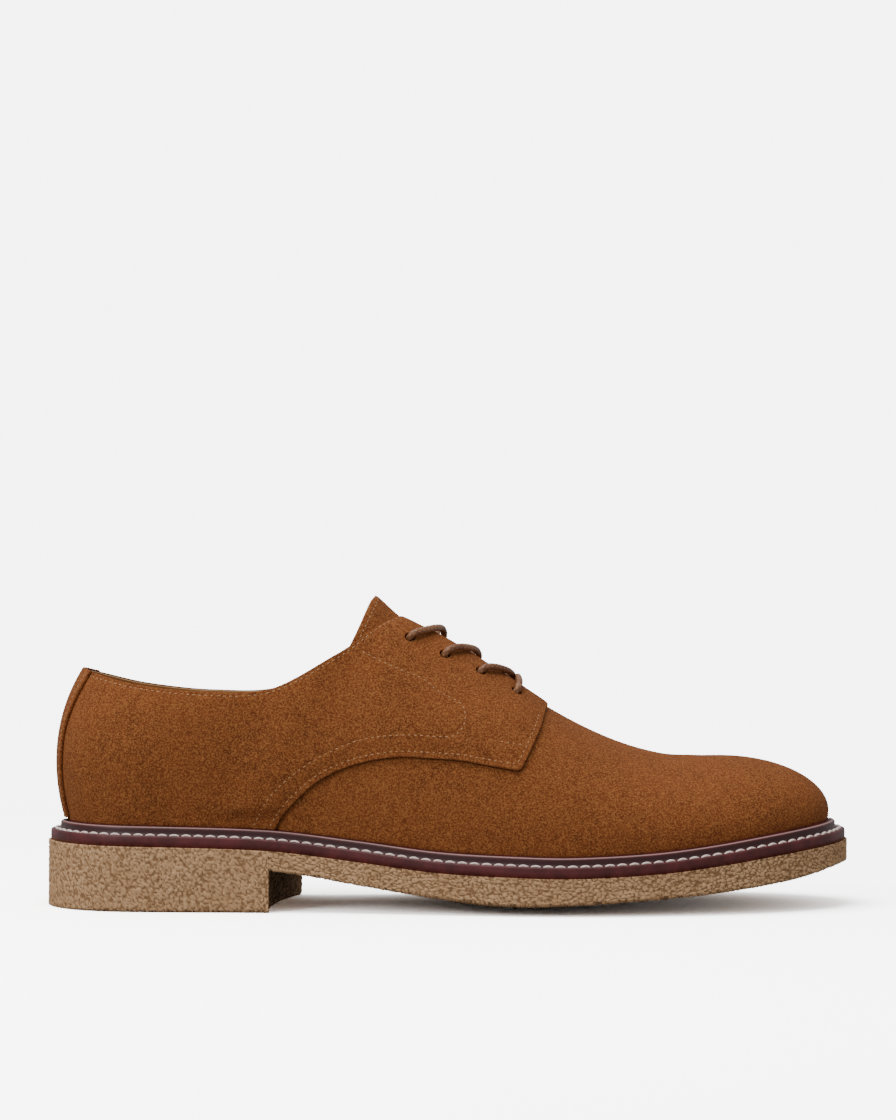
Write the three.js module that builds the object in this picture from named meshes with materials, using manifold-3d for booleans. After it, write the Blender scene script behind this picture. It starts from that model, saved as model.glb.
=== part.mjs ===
// A laced derby shoe for the right foot: a suede upper on a storm welt and a crepe unit sole.
// Millimetres. +X points to the toe, -Y to the outer side of the foot, +Z up.
// The origin lies on the ground under the middle of the sole.
import * as THREE from "three";
import { mergeVertices } from "three/addons/utils/BufferGeometryUtils.js";
import Module from "manifold-3d";

const wasm = await Module();
wasm.setup();

// Driving dimensions
const lastLength = 290.9; // upper from heel to toe at the welt
const ballWidth = 93; // upper across the ball of the foot
const upperHeight = 90; // heel of the topline above the ground
const suedeThickness = 1.5;
const stripThickness = 1.2; // back strip over the heel seam
const stiffenerThickness = 0.9; // heel counter and toe puff
const liningThickness = 0.9;
const clearance = 0.4; // left between pieces that touch
const curvedClearance = 0.7; // left between curved layers whose facets don't match
const foldRadius = 5; // turn of the upper under the insole
const lastingMargin = 6; // flat margin under the insole
const insoleThickness = 2.5;
const sockThickness = 1.4;
const weltReach = 6.1; // shelf beyond the upper
const weltThickness = 4.2;
const lipHeight = 3; // storm lip above the shelf
const lipWidth = 2.1;
const crepeOverhang = 0.8; // crepe beyond the welt
const threadWidth = 1.1;
const threadHeight = 0.6;
const laceDiameter = 2.6;
const holeDiameter = 4.6;
const holesPerSide = 4;
const holePitch = 15.3; // along the facing
const facingGap = 15; // between the two facings
const holeInset = 9.4; // from the facing edge to the hole centres
const shankLength = 104;
const shankWidth = 14;
const shankThickness = 1.2;
const agletLength = 20;
const agletDiameter = 3;

// The last is drawn at one pattern size and graded to the dimensions above.
const gradeX = lastLength / 290.9;
const gradeY = ballWidth / 93;
const gradeZ = upperHeight / 90;

// Ribs of the last from heel to toe: plan x, half width outside, half width inside, x of the top.
const ribs = [
  [-145.5, 0, 0, -138.5],
  [-139, 16.5, 15.5, -133],
  [-124, 26.5, 25.5, -117],
  [-100, 29.5, 28.5, -92],
  [-72, 31, 28.5, -66],
  [-44, 34, 28.5, -42],
  [-16, 38.5, 31, -24],
  [10, 43, 36, -12],
  [36, 46.5, 41.5, 12],
  [60, 46.5, 45, 38],
  [84, 43.5, 44.5, 60],
  [106, 38, 39.5, 79],
  [125, 29.5, 31, 92],
  [139.5, 16.5, 17.5, 100],
  [145.4, -1, 1, 103],
].map(([x, outside, inside, top]) => [x * gradeX, outside * gradeY, inside * gradeY, top * gradeX]);
const toeRib = ribs.length - 1;

// A smooth curve through [position, value] pairs, straight beyond its ends.
function through(pairs, scale, height) {
  const xs = pairs.map((pair) => pair[0] * scale);
  const ys = pairs.map((pair) => pair[1] * height);
  const last = xs.length - 1;
  const slopes = xs.map((_, i) => {
    const a = Math.max(i - 1, 0);
    const b = Math.min(i + 1, last);
    return (ys[b] - ys[a]) / (xs[b] - xs[a]);
  });
  return (x) => {
    if (x <= xs[0]) return ys[0] + slopes[0] * (x - xs[0]);
    if (x >= xs[last]) return ys[last] + slopes[last] * (x - xs[last]);
    let i = 0;
    while (x > xs[i + 1]) i++;
    const span = xs[i + 1] - xs[i];
    const t = (x - xs[i]) / span;
    const rise = t * t * (3 - 2 * t);
    return (
      ys[i] * (1 - rise) +
      ys[i + 1] * rise +
      span * t * (1 - t) * ((1 - t) * slopes[i] - t * slopes[i + 1])
    );
  };
}

// Heights along the shoe: the top of the welt lip, and the topline with the ridge of the instep.
const lipTop = through(
  [
    [-146, 32.1],
    [-133, 31.6],
    [-68, 30],
    [-35, 26.5],
    [-3, 22.6],
    [26, 21.2],
    [46, 20.9],
    [75, 22.4],
    [96, 24.8],
    [117, 28],
    [145, 32.2],
  ],
  gradeX,
  gradeZ,
);
const topHeight = through(
  [
    [-139.5, 90],
    [-128, 86.5],
    [-114, 83.5],
    [-95, 81.5],
    [-80, 81],
    [-68, 82],
    [-57, 85.5],
    [-45, 92.5],
    [-36.5, 99.3],
    [-24, 105.8],
    [-16, 108.9],
    [-12, 107],
    [0, 100.1],
    [12, 92.4],
    [24.5, 84.6],
    [37.5, 75.4],
    [54.4, 66.5],
    [68.8, 60.3],
    [84.2, 57],
    [99.6, 56.6],
    [104, 56.6],
  ],
  gradeX,
  gradeZ,
);

// The foot opening seen from above is an ellipse that closes into the ridge of the instep.
const openingCentre = -77.75 * gradeX;
const openingHalfLength = 61.75 * gradeX;
const openingHalfWidth = 30 * gradeY;
function openingHalf(x) {
  const share = (x - openingCentre) / openingHalfLength;
  return openingHalfWidth * Math.sqrt(Math.max(0, 1 - share * share));
}

const mix = THREE.MathUtils.lerp;
const ramp = THREE.MathUtils.smoothstep;
const clamp = THREE.MathUtils.clamp;

// Control points of one rib: at the welt, low on the wall, high on the wall and at the top.
function ribPoints(signed) {
  const side = signed < 0 ? -1 : 1;
  const [x, outside, inside, topX] = ribs[Math.abs(signed)];
  const foot = new THREE.Vector3(x, side < 0 ? -outside : inside, 0);
  foot.z = lipTop(x) + foldRadius - lipHeight;
  const isHeel = signed === 0;
  const isToe = Math.abs(signed) === toeRib;
  if (isToe) foot.y = ribs[toeRib][2];
  const topY = isHeel ? 0 : side * openingHalf(topX);
  const top = new THREE.Vector3(topX, topY, topHeight(topX));
  const rise = top.z - foot.z;

  let out = new THREE.Vector3(isHeel ? -1 : 1, 0, 0);
  if (!isHeel && !isToe) {
    const [ahead, behind] = [ribs[Math.abs(signed) + 1], ribs[Math.abs(signed) - 1]];
    const column = side < 0 ? 1 : 2;
    const along = new THREE.Vector3(
      ahead[0] - behind[0],
      side * (ahead[column] - behind[column]),
      0,
    );
    out = new THREE.Vector3(-side * along.y, side * along.x, 0).normalize();
  }
  const heelShare = 1 - ramp(x, -145 * gradeX, -105 * gradeX);
  const toeShare = ramp(x, 60 * gradeX, 145 * gradeX);
  const low = foot.clone().addScaledVector(out, mix(mix(3, 5.5, heelShare), 1.6, toeShare));
  low.z += rise * mix(mix(0.42, 0.345, heelShare), 0.53, toeShare);

  const wallHigh = top.clone().addScaledVector(out, mix(4.5, 10.5, heelShare));
  wallHigh.z -= rise * 0.3;
  const inward = new THREE.Vector3(foot.x - top.x, foot.y - top.y, 0);
  const reach = inward.length() * mix(0.44, 0.59, toeShare);
  inward.normalize();
  const step = 1;
  const slope = (topHeight(topX + step) - topHeight(topX - step)) / (2 * step);
  const ridgeHigh = top.clone().addScaledVector(inward, reach);
  ridgeHigh.z += slope * inward.x * reach;
  const ridgeShare = ramp(topX, -45 * gradeX, -12 * gradeX);
  return [foot, low, wallHigh.lerp(ridgeHigh, ridgeShare), top];
}

// The surface of the base suede. Rib numbers run from -14, the toe, over the outer side to 0, the
// heel, and over the inner side to 14, the toe again; rise runs from 0 at the welt to 1 at the top,
// and below 0 round the fold and along the lasting margin.
const ribNumbers = Array.from({ length: 2 * toeRib }, (_, i) => i - toeRib);
const ribControls = ribNumbers.map(ribPoints);
const railCurves = [0, 1, 2, 3].map(
  (k) =>
    new THREE.CatmullRomCurve3(
      ribControls.map((points) => points[k]),
      true,
      "catmullrom",
      0.5,
    ),
);
function rail(k, rib) {
  const turn = (rib + toeRib) / (2 * toeRib);
  return railCurves[k].getPoint(turn - Math.floor(turn));
}
// The outward direction in plan at the welt.
function outwardAt(rib) {
  const step = 0.02;
  const along = rail(0, rib + step).sub(rail(0, rib - step));
  return new THREE.Vector3(-along.y, along.x, 0).normalize();
}
function lastPoint(rib, rise) {
  if (rise < 0) {
    const foot = rail(0, rib);
    const turn = Math.min(-rise * 2, 1) * (Math.PI / 2);
    const inward =
      foldRadius * (1 - Math.cos(turn)) + lastingMargin * Math.max(0, -rise * 2 - 1);
    foot.addScaledVector(outwardAt(rib), -inward);
    foot.z -= foldRadius * Math.sin(turn);
    return foot;
  }
  const fall = 1 - rise;
  return rail(0, rib)
    .multiplyScalar(fall ** 3)
    .addScaledVector(rail(1, rib), 3 * fall * fall * rise)
    .addScaledVector(rail(2, rib), 3 * fall * rise * rise)
    .addScaledVector(rail(3, rib), rise ** 3);
}
function lastNormal(rib, rise) {
  const step = 0.01;
  const r = rise > 1 - 2 * step ? 1 - 2 * step : rise;
  const up = lastPoint(rib, r + step).sub(lastPoint(rib, r - step));
  const along = lastPoint(rib + step, r).sub(lastPoint(rib - step, r));
  return up.cross(along).normalize();
}
function offLast(rib, rise, level) {
  return lastPoint(rib, rise).addScaledVector(lastNormal(rib, rise), level);
}

// The rib number and rise of the point that has this x and z in side view.
function locate(x, z, side) {
  let best = [0, 0];
  let bestGap = Infinity;
  for (let rib = 0.25; rib < toeRib; rib += 0.25) {
    for (let rise = 0; rise <= 1; rise += 0.05) {
      const p = lastPoint(side * rib, rise);
      const gap = Math.hypot(p.x - x, p.z - z);
      if (gap < bestGap) {
        bestGap = gap;
        best = [rib, rise];
      }
    }
  }
  let [rib, rise] = best;
  const step = 0.001;
  for (let turn = 0; turn < 12; turn++) {
    const p = lastPoint(side * rib, rise);
    const a = lastPoint(side * (rib + step), rise).sub(p).divideScalar(step);
    const b = lastPoint(side * rib, rise + step).sub(p).divideScalar(step);
    const det = a.x * b.z - a.z * b.x;
    if (Math.abs(det) < 1e-6) break;
    const [dx, dz] = [x - p.x, z - p.z];
    rib += clamp((dx * b.z - dz * b.x) / det, -0.4, 0.4);
    rise = Math.min(rise + clamp((a.x * dz - a.z * dx) / det, -0.15, 0.15), 1);
  }
  return [rib, rise];
}
const locateAll = (points, side) => points.map(([x, z]) => locate(x * gradeX, z * gradeZ, side));

// Meshes
function closedGeometry(quads) {
  const keys = new Map();
  const points = [];
  const corners = [];
  const indexOf = (p) => {
    const key = p.toArray().map((n) => Math.round(n * 500)).join(" ");
    if (!keys.has(key)) {
      keys.set(key, points.length);
      points.push(p);
    }
    return keys.get(key);
  };
  for (const quad of quads) {
    const [a, b, c, d] = quad.map(indexOf);
    for (const face of [
      [a, b, c],
      [a, c, d],
    ]) {
      if (new Set(face).size === 3) corners.push(face);
    }
  }
  let volume = 0;
  for (const [a, b, c] of corners) {
    volume += points[a].dot(points[b].clone().cross(points[c]));
  }
  const index = corners.flatMap(([a, b, c]) => (volume < 0 ? [a, c, b] : [a, b, c]));
  const geometry = new THREE.BufferGeometry().setFromPoints(points);
  geometry.setIndex(index);
  return geometry;
}
function toManifold(geometry) {
  return new wasm.Manifold(
    new wasm.Mesh({
      numProp: 3,
      vertProperties: new Float32Array(geometry.attributes.position.array),
      triVerts: new Uint32Array(geometry.index.array),
    }),
  );
}
function fromManifold(body) {
  const mesh = body.getMesh();
  const geometry = new THREE.BufferGeometry();
  geometry.setAttribute("position", new THREE.BufferAttribute(mesh.vertProperties.slice(), 3));
  geometry.setIndex(new THREE.BufferAttribute(mesh.triVerts.slice(), 1));
  return geometry;
}
// A shell between two grids of points. joinLast leaves the last row open where it meets itself.
function shellBetween(outer, inner, joinLast = false) {
  const quads = [];
  const rows = outer.length - 1;
  const columns = outer[0].length - 1;
  for (let i = 0; i < rows; i++) {
    for (let j = 0; j < columns; j++) {
      quads.push([outer[i][j], outer[i][j + 1], outer[i + 1][j + 1], outer[i + 1][j]]);
      quads.push([inner[i][j], inner[i + 1][j], inner[i + 1][j + 1], inner[i][j + 1]]);
    }
    quads.push([outer[i][0], outer[i + 1][0], inner[i + 1][0], inner[i][0]]);
    quads.push([outer[i + 1][columns], outer[i][columns], inner[i][columns], inner[i + 1][columns]]);
  }
  for (let j = 0; j < columns; j++) {
    quads.push([outer[0][j + 1], outer[0][j], inner[0][j], inner[0][j + 1]]);
    if (joinLast) continue;
    quads.push([outer[rows][j], outer[rows][j + 1], inner[rows][j + 1], inner[rows][j]]);
  }
  return closedGeometry(quads);
}
// A piece of the upper: a grid of [rib, rise], the level of its outer face, and its thickness.
function upperShell(grid, levelOf, thickness, joinLast = false) {
  const place = (drop) =>
    grid.map((row) =>
      row.map(([rib, rise]) => offLast(rib, rise, levelOf(rib, rise) - drop)),
    );
  return shellBetween(place(0), place(thickness), joinLast);
}
// Rings of points joined into one closed tube or ring.
function ringLoft(rings, closed) {
  const quads = [];
  const count = rings[0].length;
  const spans = closed ? rings.length : rings.length - 1;
  for (let i = 0; i < spans; i++) {
    const [a, b] = [rings[i], rings[(i + 1) % rings.length]];
    for (let j = 0; j < count; j++) {
      const k = (j + 1) % count;
      quads.push([a[j], a[k], b[k], b[j]]);
    }
  }
  return closedGeometry(quads);
}

// Colours and finishes
const finish = (color, roughness, metalness = 0) =>
  new THREE.MeshStandardMaterial({ color, roughness, metalness });
const suede = finish(0x7c4619, 0.95);
const liningLeather = finish(0xb98a5a, 0.7);
const stiffenerBoard = finish(0xd8c9ac, 0.9);
const burgundyWelt = finish(0x58282a, 0.45);
const crepe = finish(0xb2926c, 0.9);
const cork = finish(0x9c6f45, 1);
const thread = finish(0xe6d6cc, 0.8);
const laceCotton = finish(0x7b4a2c, 0.6);
const steel = finish(0x8d9094, 0.35, 1);
const agletPlastic = finish(0x4d2c1c, 0.4);

const shoe = new THREE.Group();
function add(name, geometry, material) {
  const mesh = new THREE.Mesh(geometry, material);
  mesh.name = name;
  shoe.add(mesh);
  return mesh;
}

// Bottom: sole, welt, thread, cork, shank, insole and sock
const soleTop = (x) => lipTop(x) - lipHeight - weltThickness;
const ribRows = [
  0, 0.25, 0.5, 0.75, 1, 1.5, 2, 2.5, 3, 3.5, 4, 4.5, 5, 5.5, 6, 6.5, 7, 7.5, 8, 8.5, 9, 9.5, 10, 10.5,
  11, 11.5, 12, 12.5, 13, 13.25, 13.5, 13.75, 14,
];
function outlineAt(rib, reach) {
  const p = rail(0, rib).addScaledVector(outwardAt(rib), reach);
  p.z = 0;
  return p;
}
// A plate inside the outline moved by reach, between two heights given along x.
function plate(reach, low, high, firstRib = 0, lastRib = toeRib) {
  const shares = [0, 0.2, 0.4, 0.6, 0.8, 1];
  const rows = ribRows.filter((rib) => rib >= firstRib && rib <= lastRib && (rib * 2) % 1 === 0);
  const grid = (heightOf) =>
    rows.map((rib) =>
      shares.map((share) => {
        const p = outlineAt(-rib, reach).lerp(outlineAt(rib, reach), share);
        p.z = mix(heightOf(rail(0, -rib).x), heightOf(rail(0, rib).x), share);
        return p;
      }),
    );
  return shellBetween(grid(high), grid(low));
}

// The sole's underside: a flat heel, a breast, an arched waist and a crowned forepart.
const breastOutside = -65.5 * gradeX;
const breastInside = -58 * gradeX;
const breastHollow = 4;
const crownDepth = 3.6;
const edgeHeight = through(
  [
    [-62, 15],
    [-52, 13.5],
    [-24, 9],
    [4.4, 5.2],
    [21, 3.8],
    [36, 3.8],
    [65, 5.4],
    [95, 7.7],
    [127, 12],
    [149, 17],
  ],
  gradeX,
  1,
);
function ribAtPlan(x, side) {
  let [low, high] = [0.5, toeRib - 0.5];
  for (let turn = 0; turn < 30; turn++) {
    const middle = (low + high) / 2;
    if (rail(0, side * middle).x < x) low = middle;
    else high = middle;
  }
  return low;
}
function soleRing(outsideRib, insideRib, isHeel, hollow) {
  const reach = weltReach + crepeOverhang;
  const [outside, inside] = [outlineAt(-outsideRib, reach), outlineAt(insideRib, reach)];
  const bottomShares = [0, 0.025, 0.15, 0.32, 0.5, 0.68, 0.85, 0.975, 1];
  const chamfer = 1.2;
  const bottom = bottomShares.map((share) => {
    const p = outside.clone().lerp(inside, share);
    const middle = 4 * share * (1 - share);
    p.x -= hollow * middle;
    if (isHeel) {
      p.z = share === 0 || share === 1 ? chamfer : 0;
      return p;
    }
    const waistShare = ramp(p.x, -52 * gradeX, 18 * gradeX);
    const toeShare = ramp(p.x, 40 * gradeX, 140 * gradeX);
    const crown = crownDepth * waistShare * (1 - 0.6 * toeShare);
    p.z = edgeHeight(p.x) - crown * middle;
    if (share === 0 || share === 1) p.z += chamfer;
    return p;
  });
  const top = [1, 0.66, 0.33, 0].map((share) => {
    const p = outside.clone().lerp(inside, share);
    p.z = mix(soleTop(rail(0, -outsideRib).x), soleTop(rail(0, insideRib).x), share);
    return p;
  });
  return [...bottom, ...top];
}
function crepeSole() {
  const breast = [ribAtPlan(breastOutside, -1), ribAtPlan(breastInside, 1)];
  const near = 0.28;
  const heel = ribRows.filter((rib) => rib < Math.min(...breast) - near);
  const front = ribRows.filter((rib) => rib > Math.max(...breast) + near);
  return ringLoft(
    [
      ...heel.map((rib) => soleRing(rib, rib, true, 0)),
      soleRing(breast[0], breast[1], true, breastHollow),
      soleRing(breast[0], breast[1], false, breastHollow),
      ...front.map((rib) => soleRing(rib, rib, false, 0)),
    ],
    false,
  );
}
const soleMesh = add("crepe_sole", crepeSole(), crepe);

// A section swept round the shoe: points are [reach from the upper, height above the lip top].
const roundRibs = ribRows
  .slice(1)
  .map((rib) => -rib)
  .reverse()
  .concat(ribRows.slice(0, -1));
function swept(section) {
  const rings = roundRibs.map((rib) => {
    const foot = rail(0, rib);
    const out = outwardAt(rib);
    const base = lipTop(foot.x);
    return section.map(([reach, height]) => {
      const p = foot.clone().addScaledVector(out, reach);
      p.z = base + height;
      return p;
    });
  });
  return ringLoft(rings, true);
}
const shelf = -lipHeight;
const weltBottom = -lipHeight - weltThickness + clearance;
const foldCentre = [-foldRadius, foldRadius - lipHeight];
const foldPoint = (degrees) => {
  const turn = THREE.MathUtils.degToRad(degrees);
  const radius = foldRadius + clearance;
  return [foldCentre[0] + radius * Math.cos(turn), foldCentre[1] - radius * Math.sin(turn)];
};
const weltSection = [
  [weltReach, weltBottom],
  [weltReach, shelf - 0.9],
  [weltReach - 0.7, shelf],
  [lipWidth + 1.0, shelf],
  [lipWidth + 0.5, shelf + 0.6],
  [lipWidth + 0.4, -0.8],
  [lipWidth - 0.3, 0],
  [0.9, 0.1],
  foldPoint(22),
  foldPoint(45),
  foldPoint(68),
  foldPoint(90),
  [-foldRadius - 2.4, foldPoint(90)[1]],
  [-foldRadius - 2.4, weltBottom],
];
add("storm_welt", swept(weltSection), burgundyWelt);
const threadPlace = weltReach - 1.9;
const threadSection = [
  [threadPlace + threadWidth / 2, shelf + clearance],
  [threadPlace + threadWidth / 2, shelf + clearance + threadHeight],
  [threadPlace - threadWidth / 2, shelf + clearance + threadHeight],
  [threadPlace - threadWidth / 2, shelf + clearance],
];
add("welt_stitching", swept(threadSection), thread);

// Levels inside the upper, measured from the base suede along its normal
const stiffenerLevel = -suedeThickness - curvedClearance;
const liningLevel = stiffenerLevel - stiffenerThickness - curvedClearance;
const insideLevel = liningLevel - liningThickness - curvedClearance;
const insoleLow = (x) => lipTop(x) - lipHeight - insideLevel + clearance;
const insoleHigh = (x) => insoleLow(x) + insoleThickness;
const sockLow = (x) => insoleHigh(x) + clearance;
const sockHigh = (x) => sockLow(x) + sockThickness;
const corkLow = (x) => soleTop(x) + clearance;
const corkHigh = (x) => insoleLow(x) - shankThickness - 2 * clearance;
const corkReach = -foldRadius - lastingMargin - clearance - 0.6;
add("cork_filler", plate(corkReach, corkLow, corkHigh, 0.5, 13.5), cork);
add("insole_board", plate(insideLevel - 1.6, insoleLow, insoleHigh), stiffenerBoard);
add("sock_liner", plate(insideLevel - 1.9, sockLow, sockHigh), liningLeather);

function steelShank() {
  const rear = -92 * gradeX;
  const steps = 8;
  const section = (x) => {
    const middle = (outlineAt(-ribAtPlan(x, -1), 0).y + outlineAt(ribAtPlan(x, 1), 0).y) / 2;
    const low = corkHigh(x) + clearance;
    return [
      new THREE.Vector3(x, middle - shankWidth / 2, low),
      new THREE.Vector3(x, middle + shankWidth / 2, low),
      new THREE.Vector3(x, middle + shankWidth / 2, low + shankThickness),
      new THREE.Vector3(x, middle - shankWidth / 2, low + shankThickness),
    ];
  };
  const rings = Array.from({ length: steps + 1 }, (_, i) => section(rear + (shankLength * i) / steps));
  const centre = (ring) => ring.reduce((sum, p) => sum.add(p), new THREE.Vector3()).divideScalar(4);
  const [first, final] = [centre(rings[0]), centre(rings[steps])];
  return ringLoft([rings[0].map(() => first), ...rings, rings[steps].map(() => final)], false);
}
add("steel_shank", steelShank(), steel);

// Pattern lines of the upper in side view, x and z at the pattern size
const quarterEdge = [
  [-61.7, 34.6],
  [-56.6, 40.6],
  [-46.9, 48.8],
  [-33.9, 54.3],
  [-19.2, 56.9],
  [-5.2, 56.4],
  [4.6, 55.7],
  [12.4, 54.3],
  [26.6, 51.8],
];
const quarterFront = [
  [26.6, 51.8],
  [30.5, 59.5],
  [34, 67],
  [36, 73],
  [34.5, 77.8],
];
const vampRear = [
  [-57, 51],
  [-54, 59],
  [-40, 65],
  [-22, 67],
  [-5, 67],
  [9, 67.5],
  [20, 70.5],
  [27.5, 75],
];
const vampLiningRear = [
  [-62, 50],
  [-54, 59],
  [-40, 64],
  [-22, 65],
  [-5, 65],
  [9, 65.5],
  [22, 67],
  [36, 69],
];
const liningEdge = [
  [-65, 49],
  [-57, 61.5],
  [-42, 69.5],
  [-22, 72],
  [-5, 72.5],
  [9, 73],
  [19, 76.5],
  [23, 80],
];
const throatX = 31 * gradeX;
const tongueSeat = 39 * gradeX; // the vamp lining stops ahead of the tongue
const seamButt = 0.2; // rise up to which the quarter meets the vamp edge to edge

// Where the quarter has to lie over the vamp it is lifted by one suede and one clearance.
const liftTop = suedeThickness + curvedClearance;
const behindSeam = (p) => p.x - (-95 * gradeX + 0.5 * (p.z - 30));
const liftFoot = [0.02, 0.12];
function quarterLevel(rib, rise) {
  const p = lastPoint(rib, Math.max(rise, 0));
  return liftTop * ramp(behindSeam(p), 0, 22) * ramp(rise, liftFoot[0], liftFoot[1]);
}

// The lining lies against the suede at the topline and facing, and inside the counter below.
const counterRib = 3.6;
const counterRise = 0.7;
function quarterLiningLevel(rib, rise) {
  const behind = 1 - ramp(Math.abs(rib), counterRib + 0.1, counterRib + 0.9);
  const below = 1 - ramp(rise, counterRise + 0.02, counterRise + 0.16);
  const counter = (stiffenerThickness + curvedClearance) * behind * below;
  return quarterLevel(rib, rise) - suedeThickness - curvedClearance - counter;
}

// The ridge rib number at this x of the top.
function ribAtTop(x) {
  let [low, high] = [1, toeRib - 0.5];
  for (let turn = 0; turn < 30; turn++) {
    const middle = (low + high) / 2;
    if (rail(3, middle).x < x) low = middle;
    else high = middle;
  }
  return low;
}
// A chain is a line of [rib, rise] pairs. These give each pair's share of the chain's length, and
// the pair at a share.
function chainShares(chain) {
  const lengths = [0];
  for (let i = 1; i < chain.length; i++) {
    const [before, here] = [chain[i - 1], chain[i]].map(([rib, rise]) => lastPoint(-rib, rise));
    lengths.push(lengths[i - 1] + before.distanceTo(here));
  }
  return lengths.map((length) => length / lengths.at(-1));
}
function alongChain(chain, share) {
  const shares = chainShares(chain);
  let i = 0;
  while (i < chain.length - 2 && share > shares[i + 1]) i++;
  const t = (share - shares[i]) / (shares[i + 1] - shares[i]);
  return [mix(chain[i][0], chain[i + 1][0], t), mix(chain[i][1], chain[i + 1][1], t)];
}

// Rib and rise of the facing edge at rib numbers between the top corner and the throat.
function riseAtHalfWidth(rib, half) {
  let [low, high] = [0.5, 1];
  for (let turn = 0; turn < 30; turn++) {
    const middle = (low + high) / 2;
    if (Math.abs(lastPoint(rib, middle).y) > half) low = middle;
    else high = middle;
  }
  return low;
}
const half = facingGap / 2;
function facingCorner(side) {
  let [low, high] = [5.5, 7.2];
  for (let turn = 0; turn < 30; turn++) {
    const middle = (low + high) / 2;
    if (Math.abs(lastPoint(side * middle, 1).y) > half) low = middle;
    else high = middle;
  }
  return low;
}

// Chains of the quarter: topline and facing edge above, lasting margin and seam edge below.
function quarterTop(side, frontEnd) {
  const corner = facingCorner(side);
  const chain = [];
  for (let rib = 0; rib < corner; rib += 0.5) chain.push([rib, 1]);
  chain.push([corner, 1]);
  for (let rib = corner + 0.2; rib < frontEnd - 0.1; rib += 0.25) {
    chain.push([rib, riseAtHalfWidth(side * rib, half)]);
  }
  chain.push([frontEnd, riseAtHalfWidth(side * frontEnd, half)]);
  return chain;
}
const butt = 0.012; // half the seam at the back of the heel, in rib numbers
const liningFoot = 4.15; // rib where the quarter lining leaves the lasting margin
const riseRows = [0, 0.25, 0.33, 0.42, 0.5, 0.53, 0.57, 0.62, 0.68, 0.76, 0.84, 0.92, 1];

// A side piece ruled between its lower and its upper chain, with its front edge bent to a line.
// The lower chain turns up out of the lasting margin at its corner pairs, which get a column each.
const cornerPairs = 3;
const upperBreak = 0.45; // share of the upper chain over the corner
function sideGrid(side, lower, upper, front, rearColumns, frontColumns) {
  const corner = lower.findIndex(([, rise]) => rise > -1);
  const shares = chainShares(lower);
  const columns = [];
  for (let i = 0; i <= rearColumns; i++) {
    const s = i / rearColumns;
    columns.push([s * shares[corner - 1], s * upperBreak]);
  }
  const cornerWidth = 0.03;
  for (let i = 0; i < cornerPairs; i++) {
    columns.push([shares[corner + i], upperBreak + ((i + 1) / cornerPairs) * cornerWidth]);
  }
  const [low, high] = columns.at(-1);
  for (let i = 1; i <= frontColumns; i++) {
    columns.push([mix(low, 1, i / frontColumns), mix(high, 1, i / frontColumns)]);
  }
  return columns.map(([lowShare, highShare]) => {
    const [a, b] = [alongChain(lower, lowShare), alongChain(upper, highShare)];
    const bend = highShare ** 6;
    return riseRows.map((t) => {
      let rib = mix(a[0], b[0], t);
      let rise = mix(a[1], b[1], t);
      if (front) {
        const goal = alongChain(front, t);
        rib += bend * (goal[0] - mix(lower.at(-1)[0], upper.at(-1)[0], t));
        rise += bend * (goal[1] - mix(lower.at(-1)[1], upper.at(-1)[1], t));
      }
      return [side * Math.max(rib, butt), rise];
    });
  });
}

// The rib and rise of the point over this x at this half width, on one side.
function pointOver(x, halfWidth, side) {
  let [low, high] = [4, toeRib - 1];
  for (let turn = 0; turn < 30; turn++) {
    const middle = (low + high) / 2;
    const rise = halfWidth > 0 ? riseAtHalfWidth(side * middle, halfWidth) : 1;
    if (lastPoint(side * middle, rise).x < x) low = middle;
    else high = middle;
  }
  return [side * low, halfWidth > 0 ? riseAtHalfWidth(side * low, halfWidth) : 1];
}

// Lace holes along the facing, from the top, with the normal they are punched along
const firstHole = -15.1 * gradeX;
const instepCosine = 0.87; // of the facing's slope
const holeStep = holePitch * instepCosine;
const holeHalf = half + holeInset;
function laceHoles(side) {
  return Array.from({ length: holesPerSide }, (_, k) => {
    const place = pointOver(firstHole + k * holeStep, holeHalf, side);
    return { point: lastPoint(...place), normal: lastNormal(...place) };
  });
}
const outerHoles = laceHoles(-1);
const innerHoles = laceHoles(1);
function punched(geometry, holes) {
  let body = toManifold(geometry);
  for (const hole of holes) {
    const punch = new THREE.CylinderGeometry(holeDiameter / 2, holeDiameter / 2, 12, 12);
    punch.deleteAttribute("normal");
    punch.deleteAttribute("uv");
    punch.applyQuaternion(
      new THREE.Quaternion().setFromUnitVectors(new THREE.Vector3(0, 1, 0), hole.normal),
    );
    punch.translate(...hole.point.toArray());
    body = body.subtract(toManifold(mergeVertices(punch, 1e-4)));
  }
  return fromManifold(body);
}

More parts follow.
